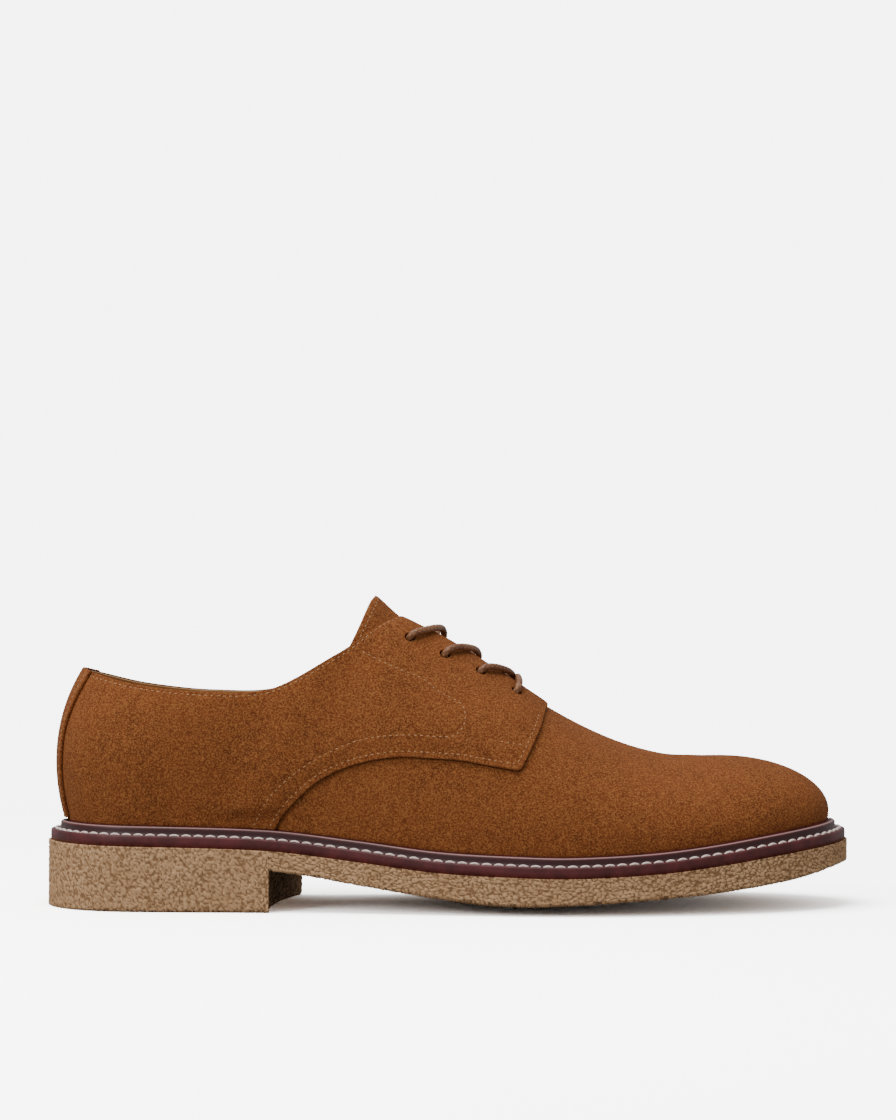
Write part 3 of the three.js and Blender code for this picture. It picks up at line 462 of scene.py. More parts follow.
halves = []
for start in (1, -1):
    side, run = start, []
    for k in range(HOLES - 1, 0, -1):
        run.append(crossing(side, k, k - 1, early if side > 0 else late))
        side = -side
    halves.append(np.concatenate([*run, lace_end(side)]))
lace_route = np.concatenate([halves[1][::-1], crossing(-1, HOLES - 1, HOLES - 1, bar), halves[0]])
keep = np.concatenate([[True], np.linalg.norm(np.diff(lace_route, axis=0), axis=1) > 0.3])
lace_route = lace_route[keep]


def round_cord(route, radius, spacing, sides):
    """Points and faces of a round cord with closed ends."""
    line = smooth_line(route, spacing)
    along = unit(np.gradient(line, axis=0))
    across = unit(np.cross(along[0], (0, 0, 1)))
    rings = []
    for i, (p, t) in enumerate(zip(line, along)):
        across = unit(across - t * np.dot(across, t))
        other = np.cross(t, across)
        turns = np.arange(sides) * 2 * math.pi / sides
        end = min(i, len(line) - 1 - i) * spacing
        r = radius * math.sqrt(1 - max(0, 1 - end / (0.4 * radius)) ** 2 * 0.5)
        rings.append(p + r * (np.cos(turns)[:, None] * across + np.sin(turns)[:, None] * other))
    points = np.array(rings).reshape(-1, 3)
    faces = grid_faces(len(line), sides, wrap=True)
    faces += [list(range(sides))[::-1], list(range(len(points) - sides, len(points)))]
    return points, facing_out(points, faces)


RING_SPACING = 0.45
CORD_SIDES = 20
points, faces = round_cord(lace_route, LACE / 2, RING_SPACING, CORD_SIDES)

# Waxed cotton braid: a soft shine, two sets of strands that cross, painted shade in the creases between
# them, and uneven dye. The fluff on real yarn is finer than 0.1 mm, so it is drawn coarser.
DYE_PATCH = 6
FLUFF = 0.25
waxed_braid, tree, surface, mm = new_material("waxed_round_braid", Roughness=0.42, Specular_IOR_Level=0.5)
braid = add_node(tree, "UVMap", "UV")
round_share = add_node(tree, "SeparateXYZ", "X", {0: braid})
along_share = add_node(tree, "SeparateXYZ", "Y", {0: braid})
strands = []
for lean in (1.0, -1.0):
    leaning = add_node(tree, "Math", 0, {0: round_share, 1: lean}, operation="MULTIPLY")
    moved = add_node(tree, "Math", 0, {0: along_share, 1: leaning}, operation="ADD")
    wave = add_node(tree, "Math", 0, {0: moved, 1: 1.0}, operation="PINGPONG")
    strand = {"Value": wave, "From Min": 0.05, "From Max": 0.75}
    strands.append(add_node(tree, "MapRange", "Result", strand, **SOFT))
woven = add_node(tree, "Math", 0, {0: strands[0], 1: strands[1]}, operation="MULTIPLY")
dye = add_node(tree, "TexNoise", "Fac", {"Vector": mm, "Scale": 1 / DYE_PATCH, "Detail": 4})
dye = add_node(tree, "MapRange", "Result", {"Value": dye, "From Min": 0.35, "From Max": 0.65}, **SOFT)
tone = add_node(tree, "Mix", 2, {0: dye, 6: linear("#8c5a3a"), 7: linear("#ac784f")}, **COLOUR)
# Painted shade for the creases between the strands, where the braid's relief is low.
painted_braid_shade = add_node(tree, "Mix", 2, {0: 0.55, 6: tone, 7: linear("#52301d")}, **COLOUR)
tone = add_node(tree, "Mix", 2, {0: woven, 6: painted_braid_shade, 7: tone}, **COLOUR)
tree.links.new(tone, surface.inputs["Base Color"])
fluff = add_node(tree, "TexNoise", "Fac", {"Vector": mm, "Scale": 1 / FLUFF, "Detail": 3})
relief = add_node(tree, "Math", 0, {0: woven, 1: fluff}, operation="ADD")
relief = add_node(tree, "Bump", "Normal", {"Height": relief, "Distance": 0.14 / 1000, "Strength": 0.8})
tree.links.new(relief, surface.inputs["Normal"])

lace = make_mesh("lace_cord", points, faces, waxed_braid, ["lace"])
# The braid's pattern is laid on by turns round the cord and by distance along it.
STRANDS_ROUND = 8
BRAID_PITCH = 1.1
uv = lace.data.uv_layers.new(name="braid")
for polygon in lace.data.polygons:
    for loop, vertex in zip(polygon.loop_indices, polygon.vertices):
        ring, turn = divmod(vertex, CORD_SIDES)
        if turn == 0 and any(v % CORD_SIDES == CORD_SIDES - 1 for v in polygon.vertices):
            turn = CORD_SIDES
        uv.data[loop].uv = (turn / CORD_SIDES * STRANDS_ROUND, ring * RING_SPACING / BRAID_PITCH)


# Quarters: two pieces of brown split suede that wrap the heel and carry the facings. Each is clicked
# from the hide with raw edges, laid over the vamp's sides and sewn down with rows of waxed thread.

# Split suede, buffed and dyed: it gives no shine, a nap with lighter tips and dark hollows, brushed
# marks, and a soft light at its outline. A fibre is about 0.1 mm wide, so the nap is drawn coarser.
HIDE_PATCH = 22
BRUSH_MARK = 3.4
NAP = 0.58
NAP_HOLLOW = 0.65
FIBRE = 0.22
HIDE_LUMP = 2.6
suede, tree, surface, mm = new_material(
    "brown_split_suede",
    Roughness=0.93,
    Specular_IOR_Level=0.18,
    Sheen_Weight=0.16,
    Sheen_Roughness=0.5,
    Sheen_Tint=linear("#c47c4a"),
)
dark, middle, light = linear("#4d230e"), linear("#7a401e"), linear("#b07340")
patch = add_node(tree, "TexNoise", "Fac", {"Vector": mm, "Scale": 1 / HIDE_PATCH, "Detail": 3})
patch = add_node(tree, "MapRange", "Result", {"Value": patch, "From Min": 0.32, "From Max": 0.68}, **SOFT)
patch = add_node(tree, "MapRange", "Result", {"Value": patch, "To Min": 0.4, "To Max": 0.8}, **SOFT)
marks = {"Vector": mm, "Scale": 1 / BRUSH_MARK, "Detail": 5, "Roughness": 0.62}
marks = add_node(tree, "TexNoise", "Fac", marks)
brushed = add_node(tree, "MapRange", "Result", {"Value": marks, "From Min": 0.34, "From Max": 0.66}, **SOFT)
nap = add_node(tree, "TexNoise", "Fac", {"Vector": mm, "Scale": 1 / NAP, "Detail": 4, "Roughness": 0.68})
tips = add_node(tree, "MapRange", "Result", {"Value": nap, "From Min": 0.41, "From Max": 0.62}, **SOFT)
tips = add_node(tree, "MapRange", "Result", {"Value": tips, "To Max": 0.66}, **SOFT)
tone = add_node(tree, "Mix", 2, {0: brushed, 6: dark, 7: middle}, **COLOUR)
tone = add_node(tree, "Mix", 2, {0: patch, 6: tone, 7: middle}, **COLOUR)
tone = add_node(tree, "Mix", 2, {0: tips, 6: tone, 7: light}, **COLOUR)
hollows = {"Vector": mm, "Scale": 1 / NAP_HOLLOW, "Detail": 3, "Roughness": 0.6}
hollow = add_node(tree, "TexNoise", "Fac", hollows)
hollow_range = {"Value": hollow, "From Min": 0.3, "From Max": 0.5, "To Min": 0.5, "To Max": 0.0}
hollow = add_node(tree, "MapRange", "Result", hollow_range, **SOFT)
tone = add_node(tree, "Mix", 2, {0: hollow, 6: tone, 7: dark}, **COLOUR)
tree.links.new(tone, surface.inputs["Base Color"])
fibre = add_node(tree, "TexNoise", "Fac", {"Vector": mm, "Scale": 1 / FIBRE, "Detail": 3, "Roughness": 0.6})
fibres = add_node(tree, "Math", 0, {0: nap, 1: fibre}, operation="ADD")
nap_relief = {"Height": fibres, "Distance": 0.26 / 1000, "Strength": 0.75}
nap_relief = add_node(tree, "Bump", "Normal", nap_relief)
lumps = add_node(tree, "TexNoise", "Fac", {"Vector": mm, "Scale": 1 / HIDE_LUMP, "Detail": 3})
hide_relief = {"Height": lumps, "Distance": 0.35 / 1000, "Strength": 0.5, "Normal": nap_relief}
tree.links.new(add_node(tree, "Bump", "Normal", hide_relief), surface.inputs["Normal"])


# The leather is cut flat and then laid on the last. The cutting plane has the distance along the
# welt as u and the rise in millimetres as v: WALL from the welt to the top, FOLD for the turned edge.
WALL = 66
FOLD = 14
plane_ribs = np.linspace(-1, TOE, 400)
plane_us = np.concatenate(
    [[0], np.cumsum(np.linalg.norm(np.diff(last_point(plane_ribs, 0.5), axis=0), axis=1))]
)


def to_plane(rib, rise):
    u = np.interp(np.abs(rib), plane_ribs, plane_us)
    return np.stack([u, np.where(rise > 0, rise * WALL, rise * FOLD)], -1)


def from_plane(uv, side):
    u, v = uv[..., 0], uv[..., 1]
    return side * np.interp(u, plane_us, plane_ribs), np.where(v > 0, v / WALL, v / FOLD)


def joined(curves, radii):
    """One closed line from curves that meet end to end; each meeting is rounded by its radius."""
    line = []
    for i, curve in enumerate(curves):
        curve = evenly(np.array(curve), 0.25)
        before, after = radii[i - 1], radii[i]
        line.append(curve[int(before / 0.25) : len(curve) - int(after / 0.25)])
    loop = []
    for i, part in enumerate(line):
        corner, following = np.array(curves[i][-1]), line[(i + 1) % len(line)]
        t = np.linspace(0, 1, max(2, int(radii[i] * 6)))[:, None]
        bend = part[-1] * (1 - t) ** 2 + corner * 2 * t * (1 - t) + following[0] * t**2
        loop += [part, bend[1:-1]]
    loop = np.concatenate(loop)
    keep = np.linalg.norm(loop - np.roll(loop, 1, 0), axis=1) > 0.02
    return loop[keep]


def is_inside(points, loop):
    a, b = loop, np.roll(loop, -1, 0)
    inside = np.zeros(len(points), bool)
    for (x1, y1), (x2, y2) in zip(a, b):
        if y1 == y2:
            continue
        crosses = (y1 > points[:, 1]) != (y2 > points[:, 1])
        inside ^= crosses & (points[:, 0] < (x2 - x1) * (points[:, 1] - y1) / (y2 - y1) + x1)
    return inside


def tree_of(points):
    found = kdtree.KDTree(len(points))
    for i, p in enumerate(points):
        found.insert(Vector(p) if len(p) == 3 else Vector((p[0], p[1], 0)), i)
    found.balance()
    return found


def gaps_to(points, found):
    places = (Vector(p) if len(p) == 3 else Vector((p[0], p[1], 0)) for p in points)
    return np.array([found.find(place)[2] for place in places])


def loop_area(loop):
    """Area of a flat loop, negative when it runs clockwise."""
    x, y = loop.T
    return np.sum(x * np.roll(y, -1) - y * np.roll(x, -1)) / 2


def cut_piece(loop, holes, side, level_of, thickness, spacing, rounding=0.45):
    """A flat piece with holes, laid on one side of the last: points and faces of its shell."""
    if loop_area(loop) < 0:
        loop = loop[::-1]
    rims = [evenly(np.concatenate([loop, loop[:1]]), 0.7)[:-1], *holes]
    rings = []
    for rim, is_hole in zip(rims, [False] + [True] * len(holes)):
        along = unit(np.roll(rim, -1, 0) - np.roll(rim, 1, 0))
        inward = np.stack([-along[:, 1], along[:, 0]], -1) * (-1 if is_hole else 1)
        rings += [rim + inward * inset for inset in (0.12, 0.3, 0.55)]
    edge_points = np.concatenate(rims)
    edge_tree = tree_of(edge_points)
    ring_points = np.concatenate(rings)
    ring_points = ring_points[is_inside(ring_points, loop) & (gaps_to(ring_points, edge_tree) > 0.09)]
    for hole in holes:
        ring_points = ring_points[~is_inside(ring_points, hole)]
    low, high = loop.min(0), loop.max(0)
    us = np.arange(low[0], high[0], spacing)
    vs = np.arange(low[1], high[1], spacing * 0.87)
    lattice = np.array([(u + (k % 2) * spacing / 2, v) for k, v in enumerate(vs) for u in us])
    lattice = lattice[is_inside(lattice, loop)]
    for hole in holes:
        lattice = lattice[~is_inside(lattice, hole)]
    lattice = lattice[gaps_to(lattice, edge_tree) > 0.9]
    flat = np.concatenate([edge_points, ring_points, lattice])
    edges, start = [], 0
    for rim in rims:
        edges += [(start + i, start + (i + 1) % len(rim)) for i in range(len(rim))]
        start += len(rim)
    cut = delaunay_2d_cdt([Vector(p) for p in flat], edges, [], 0, 1e-6)
    flat = np.array([tuple(p) for p in cut[0]])
    faces = np.array([f for f in cut[2] if len(f) == 3])
    centres = flat[faces].mean(1)
    keep = is_inside(centres, loop)
    for hole in holes:
        keep &= ~is_inside(centres, hole)
    faces = faces[keep]
    rib, rise = from_plane(flat, side)
    base = last_point(rib, rise)
    rim_ribs = [from_plane(rim, side) for rim in rims]
    rim_tree = tree_of(np.concatenate([last_point(*r) for r in rim_ribs]))
    gap = gaps_to(base, rim_tree)
    dip = rounding - np.sqrt(np.maximum(rounding**2 - np.maximum(rounding - gap, 0) ** 2, 0))
    level = level_of(rib, rise, base)
    outer = off_last(rib, rise, level - dip)
    inner = off_last(rib, rise, level - thickness)
    sides = {}
    for f in faces:
        for a, b in zip(f, np.roll(f, -1)):
            sides[(int(a), int(b))] = True
    border = [(a, b) for a, b in sides if (b, a) not in sides]
    count = len(flat)
    shell = faces.tolist() + [[a + count, c + count, b + count] for a, b, c in faces.tolist()]
    shell += [[b, a, a + count, b + count] for a, b in border]
    points = np.concatenate([outer, inner])
    return points, facing_out(points, shell)


def fine(normal):
    return normal


def locate(points, side):
    """Rib numbers and rises of the points that have these x and z in side view."""
    points = np.array(points, float)
    grid = np.meshgrid(np.arange(0.25, TOE, 0.25), np.arange(0, 1.01, 0.05))
    ribs, rises = grid[0].ravel(), grid[1].ravel()
    grid = last_point(side * ribs, rises)[:, [0, 2]]
    best = np.linalg.norm(points[:, None] - grid[None], axis=2).argmin(1)
    rib, rise = ribs[best], rises[best]
    for _ in range(12):
        p = last_point(side * rib, rise)[:, [0, 2]]
        a = (last_point(side * (rib + 0.001), rise)[:, [0, 2]] - p) / 0.001
        b = (last_point(side * rib, rise + 0.001)[:, [0, 2]] - p) / 0.001
        det = a[:, 0] * b[:, 1] - a[:, 1] * b[:, 0]
        det = np.where(np.abs(det) < 1e-6, 1e9, det)
        gap = points - p
        rib_step = (gap[:, 0] * b[:, 1] - gap[:, 1] * b[:, 0]) / det
        rise_step = (a[:, 0] * gap[:, 1] - a[:, 1] * gap[:, 0]) / det
        rib = rib + np.clip(rib_step, -0.4, 0.4)
        rise = np.minimum(rise + np.clip(rise_step, -0.15, 0.15), 1)
    return rib, rise


def laid(points, side):
    """Points given in side view, brought to the cutting plane."""
    return to_plane(*locate(points, side))


# Lines of the quarter's pattern in side view, as x and z: its front edge over the vamp, the short edge
# up to the throat, and the second stitch row that runs round the facing. BUTT is the heel seam's half
# gap, in rib numbers.
quarter_edge = [(-64.4, 29.8), (-61.7, 34.6), (-56.6, 40.6), (-46.9, 48.8), (-33.9, 54.3)]
quarter_edge += [(-19.2, 56.9), (-5.2, 56.4), (4.6, 55.7), (12.4, 54.3), (26.6, 51.8)]
quarter_front = [(26.6, 51.8), (30.5, 59.5), (34, 67), (36, 73)]
box_row = [(-72.4, 31), (-70.6, 34.5), (-66.7, 41.3), (-58.7, 49.4), (-46.9, 57.1), (-32, 63.1)]
box_row += [(-17.2, 64.8), (-3, 64.1), (1.8, 64.2), (5.1, 66.7), (6.3, 71.5), (4.7, 75.7)]
box_row += [(0.4, 78.1), (-5.2, 81.3), (-9.5, 84.9), (-20.3, 89.5), (-27.4, 92.9), (-32.5, 95.6)]
bar_tack = [(18.6, 62.2), (22.8, 61.3), (27.4, 61.0)]
BUTT = 0.012
HOLE_DIAMETER = 3.9


def facing_corner(side):
    """Rib number where the facing's edge meets the topline."""
    def is_wide(rib):
        return np.abs(last_point(side * rib, 1)[..., 1]) > HALF_GAP

    return float(halved(np.array(5.5), np.array(7.2), is_wide))


def rib_at_top(x):
    return float(halved(np.array(1.0), np.array(TOE - 0.5), lambda r: rail(3, r)[..., 0] < x))


def top_lines(side, front_rib):
    """The facing edge from the throat up, and the topline back to the heel, in the plane."""
    corner = facing_corner(side)
    ribs = np.linspace(front_rib, corner, 60)
    facing = to_plane(ribs, rise_at_half(side * ribs, HALF_GAP))
    topline = to_plane(np.linspace(corner, BUTT, 160), np.ones(160))
    facing[-1] = topline[0]
    return facing, topline


def hole_loops(side, diameter):
    """The punched holes as loops in the plane."""
    loops = []
    for x in hole_xs:
        rib, rise = (float(v) for v in point_over(x, HOLE_HALF, side))
        p, n = last_point(rib, rise), last_normal(rib, rise)
        a = (last_point(rib + 0.01, rise) - p) / 0.01
        b = (last_point(rib, rise + 0.01) - p) / 0.01
        first = unit(a)
        second = np.cross(n, first)
        metric = np.array([[a @ first, b @ first], [a @ second, b @ second]])
        turns = np.arange(28) * 2 * math.pi / 28
        wanted = np.stack([np.cos(turns), np.sin(turns)]) * diameter / 2
        step = np.linalg.solve(metric, wanted)
        loop = to_plane(rib + step[0], rise + step[1])
        loops.append(loop if loop_area(loop) > 0 else loop[::-1])
    return loops


def quarter_lift(rib, rise, base):
    """The quarter stands a vamp's thickness off the last, and on the last itself at the heel's foot."""
    behind_seam = base[..., 0] + 95 - 0.5 * (base[..., 2] - 30)
    return LIFT * ramp(behind_seam, 0, 22) * ramp(rise, 0.02, 0.12)


# The edge dips to the vamp along its seam, and the suede sinks a little under each row of stitches.
# Rows lie about 2 mm in from an edge.
SEAM_PRESS = 0.06
ROW_DEPTH = 0.16
ROW_INSET = 2.1
ROW_PITCH = 2.3
ROW_STITCH = 1.7
ROW_WIDTH = 0.46
THROAT_CORNER = 34


def quarter_rows(side):
    """Stitch rows of one quarter, as lines of rib and rise."""
    edge = smooth_line(quarter_edge, 1.0)
    along = unit(np.gradient(edge, axis=0))
    inset = edge + np.stack([-along[:, 1], along[:, 0]], -1) * ROW_INSET
    front = smooth_line(quarter_front, 1.0)
    along = unit(np.gradient(front, axis=0))
    front_inset = front + np.stack([-along[:, 1], along[:, 0]], -1) * ROW_INSET
    front_inset = front_inset[front_inset[:, 1] > inset[-1][1] + 0.6]
    inset = inset[inset[:, 0] < front_inset[0][0] - 0.3]
    seam_row = np.concatenate([inset, front_inset[:-2]])
    rows = [locate(smooth_line(seam_row, 1.0), side), locate(smooth_line(box_row, 1.0), side)]
    rows.append(locate(smooth_line(bar_tack, 0.8), side))
    corner = facing_corner(side)
    fall = 2.0 / WALL
    top_ribs = np.linspace(0.75, corner - 0.12, 120)
    rows.append((top_ribs, np.full(120, 1 - fall * 1.05)))
    return [(side * rib, rise) for rib, rise in rows]


def stitches(rib, rise, level_of, width):
    """Points and faces of one row of stitches that lie on the suede of the upper."""
    line = off_last(rib, rise, level_of(rib, rise, last_point(rib, rise)))
    return stitch_row(line, last_normal(rib, rise), width)


def stitch_row(line, normal, width):
    """Points and faces of one row of stitches along a line, each a short bead of thread."""
    stacked = evenly(np.concatenate([line, normal], 1), ROW_PITCH)
    points, faces = [], []
    steps, turns = 7, 8
    t = np.linspace(0, math.pi, steps)
    a = np.arange(turns) * 2 * math.pi / turns
    for i in range(len(stacked) - 1):
        middle = (stacked[i, :3] + stacked[i + 1, :3]) / 2
        along = unit(stacked[i + 1, :3] - stacked[i, :3])
        up = unit(stacked[i, 3:] + stacked[i + 1, 3:])
        across = np.cross(along, up)
        wobble = 1 + 0.12 * math.sin(i * 2.39)
        reach = -np.cos(t) * ROW_STITCH * wobble / 2
        radius = np.sin(t) ** 0.6 * width / 2
        lift = -0.8 * width * np.cos(t) ** 2
        start = len(points)
        for r, w, h in zip(reach, radius, lift):
            for turn in a:
                bead = across * w * math.cos(turn) + up * (h + w * math.sin(turn))
                points.append(middle + along * r + bead)
        faces += grid_faces(steps, turns, start, wrap=True)
    return points, faces


# Raw-cut edge of the same suede: matt and torn, and darker than the nap, partly the cut edge's own tone
# and partly painted shade for the shadow along the piece's edge.
TORN = 0.6
raw_edge, tree, surface, mm = new_material("raw_cut_suede_edge", Roughness=0.95, Specular_IOR_Level=0.15)
torn = add_node(tree, "TexNoise", "Fac", {"Vector": mm, "Scale": 1 / TORN, "Detail": 4, "Roughness": 0.65})
torn = add_node(tree, "MapRange", "Result", {"Value": torn, "From Min": 0.35, "From Max": 0.65}, **SOFT)
tone = add_node(tree, "Mix", 2, {0: torn, 6: linear("#2a130a"), 7: linear("#532b17")}, **COLOUR)
tree.links.new(tone, surface.inputs["Base Color"])
relief = add_node(tree, "Bump", "Normal", {"Height": torn, "Distance": 0.15 / 1000, "Strength": 0.7})
tree.links.new(relief, surface.inputs["Normal"])

# Waxed polyester thread, twisted: a dull shine and darker turns. The twist is drawn coarser than the
# 0.1 mm of real plies.
TWIST = 0.35
thread, tree, surface, mm = new_material("pale_waxed_thread", Roughness=0.55)
twist = add_node(tree, "TexNoise", "Fac", {"Vector": mm, "Scale": 1 / TWIST})
twist = add_node(tree, "MapRange", "Result", {"Value": twist, "From Min": 0.3, "From Max": 0.7}, **SOFT)
tone = add_node(tree, "Mix", 2, {0: twist, 6: linear("#966740"), 7: linear("#c69c6e")}, **COLOUR)
tree.links.new(tone, surface.inputs["Base Color"])
relief = add_node(tree, "Bump", "Normal", {"Height": twist, "Distance": 0.08 / 1000, "Strength": 0.6})
tree.links.new(relief, surface.inputs["Normal"])

for side, name in ((-1, "outer"), (1, "inner")):
    rows = quarter_rows(side)
    row_tree = tree_of(np.concatenate([evenly(last_point(*row), 0.4) for row in rows]))
    edge_rib, edge_rise = locate(smooth_line(quarter_edge + quarter_front[1:], 0.8), side)
    seam_tree = tree_of(last_point(side * edge_rib, edge_rise))

    def quarter_level(rib, rise, base):
        flat = np.asarray(base).reshape(-1, 3)
        to_row = gaps_to(flat, row_tree).reshape(np.shape(rib))
        to_seam = gaps_to(flat, seam_tree).reshape(np.shape(rib))
        lift = quarter_lift(rib, rise, base)
        down = (LIFT - SUEDE - SEAM_PRESS) * (lift / LIFT) * (1 - ramp(to_seam, 0.5, 9))
        return lift - down - ROW_DEPTH * np.exp(-((to_row / 0.75) ** 2))

    seam = laid(smooth_line(quarter_edge, 0.8), side)
    front = laid(smooth_line(quarter_front, 0.8), side)
    front_rib = rib_at_top(THROAT_CORNER)
    facing, topline = top_lines(side, front_rib)
    seam_u = seam[0][0]
    front = np.concatenate([front, facing[:1]])
    heel_u = topline[-1][0]
    foot = [(heel_u, WALL), (heel_u, -FOLD), (seam_u, -FOLD)]
    rise_line = [(seam_u, -FOLD), tuple(seam[0])]
    loop = joined(
        [foot[:2], foot[1:], rise_line, seam, front, facing, topline],
        [0, 0, 0, 2.2, 4.5, 3.0, 0],
    )
    points, faces = cut_piece(
        loop, hole_loops(side, HOLE_DIAMETER), side, quarter_level, SUEDE, fine(1.0)
    )
    quarter = make_mesh(f"{name}_quarter_suede", points, faces, suede, [f"{name}_quarter"])
    # The four-sided faces are the cut edge, with its painted shade.
    quarter.data.materials.append(raw_edge)
    for polygon in quarter.data.polygons:
        polygon.material_index = 1 if len(polygon.vertices) == 4 else 0
    points, faces = [], []
    for rib, rise in rows:
        more, their_faces = stitches(rib, rise, quarter_level, ROW_WIDTH)
        faces += [[v + len(points) for v in f] for f in their_faces]
        points += more
    make_mesh(f"{name}_quarter_stitches", points, faces, thread, [])


# Vamp: one piece of the same suede from under the quarters right round the toe. It is pulled down over
# the last, its lower edge is turned under the insole, and the quarters are sewn down over its sides.
# Its rear edge is hidden under the quarters, and is given in side view.
vamp_rear = [(-66, 37), (-63.5, 43), (-60.5, 49), (-56, 55), (-50, 60.5), (-40, 65), (-22, 67)]
vamp_rear += [(-5, 67), (9, 67.5), (20, 70.5), (27.5, 75)]
EDGE_LIFT = (SUEDE + SEAM_PRESS) / LIFT
THROAT = 31


def vamp_level(rib, rise):
    """The vamp stands at the last's own level, and sinks where the quarter over it isn't lifted."""
    base = last_point(rib, rise)
    level = np.zeros(rib.shape)
    for side in (-1, 1):
        edge_rib, edge_rise = locate(smooth_line(quarter_edge[:7], 0.8), side)
        edge_rib = np.concatenate([np.full(12, edge_rib[0]), edge_rib])
        edge_rise = np.concatenate([np.linspace(-1, edge_rise[0], 12), edge_rise])
        edge = last_point(side * edge_rib, edge_rise)
        under = quarter_lift(side * edge_rib, edge_rise, edge) * EDGE_LIFT - SUEDE - SEAM_PRESS
        edge_tree = tree_of(edge)
        near = (rib * side > 0) & (base[..., 0] < 10)
        found = [edge_tree.find(Vector(p)) for p in base[near]]
        deepest = np.array([under[i] for _, i, _ in found])
        gap = np.array([distance for _, _, distance in found])
        ahead = np.array([p[0] > at[0] for p, (at, _, _) in zip(base[near], found)])
        level[near] = np.minimum(deepest, 0) * np.where(ahead, 1 - ramp(gap, 0.3, 4), 1)
    return level


def vamp_grid(rows, columns, rear_line, throat):
    """Rib numbers and rises over the vamp, from its hidden rear edge to the toe."""
    halves = []
    for side in (-1, 1):
        rear_rib, rear_rise = locate(rear_line, side)
        rib = np.concatenate([rear_rib, [rib_at_top(throat)]])
        rise = np.concatenate([rear_rise, [1]])
        foot_rise = rear_rise[0]
        chain = last_point(side * rib, rise)
        along = np.concatenate([[0], np.cumsum(np.linalg.norm(np.diff(chain, axis=0), axis=1))])
        shares = np.linspace(0, 1, columns) ** 0.9
        wall_rib = np.interp(shares * along[-1], along, rib)
        wall_rise = np.interp(shares * along[-1], along, rise)
        fold = np.concatenate([np.linspace(-1, -0.5, 4)[:-1], np.linspace(-0.5, foot_rise, 14)[:-1]])
        rear_foot = np.full(len(fold), rear_rib[0])
        rear = np.stack([np.concatenate([rear_foot, wall_rib]), np.concatenate([fold, wall_rise])])
        toe_rise = np.concatenate([fold, mix(foot_rise, 1, shares)])
        toe = np.stack([np.full(rear.shape[1], float(TOE)), toe_rise])
        t = np.linspace(0, 1, rows)[:, None]
        halves.append((side * mix(rear[0], toe[0], t), mix(rear[1], toe[1], t)))
    (ribs_out, rises_out), (ribs_in, rises_in) = halves
    ribs = np.concatenate([ribs_out, ribs_in[:, ::-1][:, 1:]], 1)
    rises = np.concatenate([rises_out, rises_in[:, ::-1][:, 1:]], 1)
    return ribs, rises


def grid_shell(outer, inner, open_last=False):
    """Points and faces of a shell between two grids of points; its last rim may stay open."""
    rows, columns = outer.shape[:2]
    count = rows * columns
    points = np.concatenate([outer.reshape(-1, 3), inner.reshape(-1, 3)])
    faces = grid_faces(rows, columns) + [f[::-1] for f in grid_faces(rows, columns, count)]
    first = list(range(columns))
    right = [columns * (i + 1) - 1 for i in range(rows)]
    left = [columns * i for i in range(rows)]
    last = [columns * (rows - 1) + j for j in range(columns)]
    rims = [first[::-1], left, right[::-1]] + ([] if open_last else [last])
    for rim in rims:
        faces += [[a, b, b + count, a + count] for a, b in zip(rim, rim[1:])]
    return points, facing_out(points, faces)


ribs, rises = vamp_grid(fine(230), fine(70), vamp_rear, THROAT)
levels = vamp_level(ribs, rises)
points, faces = grid_shell(off_last(ribs, rises, levels), off_last(ribs, rises, levels - SUEDE), True)
make_mesh("vamp_suede", points, faces, suede, ["vamp"])


# Back strip: a narrow strip of the same suede over the heel seam, where the two quarters are butted.
# It is sewn on with a row of the same thread near each edge, and is a little wider at the collar.
STRIP = 1.2
STRIP_ROW = 0.83
STRIP_ROW_WIDTH = 0.42
EDGE_ROUNDING = 0.45


def strip_half(rise):
    """Half width of the strip in rib numbers."""
    return 0.62 * (mix(0.85, 1, rise) + 0.32 * ramp(rise, 0.5, 1))


def strip_level(rib, rise, base):
    near = np.abs(np.abs(rib) / strip_half(rise) - STRIP_ROW) * 12
    return STRIP + 0.12 - 0.12 * np.exp(-((near / 0.7) ** 2))


near_edge = [0.95, 0.975, 0.992, 1]
across = np.concatenate([[-share for share in near_edge[::-1]], np.linspace(-0.92, 0.92, 40), near_edge])
upward = np.concatenate([np.linspace(-0.04, 0.97, 70), [0.985, 0.993, 1]])
rises, shares = np.meshgrid(upward, across, indexing="ij")
ribs = shares * strip_half(rises)
edge_gap = np.minimum((1 - np.abs(shares)) * 11, (1 - rises) * 58)
turned = np.maximum(EDGE_ROUNDING - edge_gap, 0)
dip = EDGE_ROUNDING - np.sqrt(np.maximum(EDGE_ROUNDING**2 - turned**2, 0))
outer = off_last(ribs, rises, strip_level(ribs, rises, None) - dip)
inner = off_last(ribs, rises, np.full_like(ribs, 0.06))
points, faces = grid_shell(outer, inner)
make_mesh("back_strip_suede", points, faces, suede, ["back_strip"])
points, faces = [], []
for side in (-1, 1):
    rise = np.linspace(0.0, 0.97, 80)
    more, their_faces = stitches(side * strip_half(rise) * STRIP_ROW, rise, strip_level, STRIP_ROW_WIDTH)
    faces += [[v + len(points) for v in f] for f in their_faces]
    points += more
make_mesh("back_strip_stitches", points, faces, thread, [])


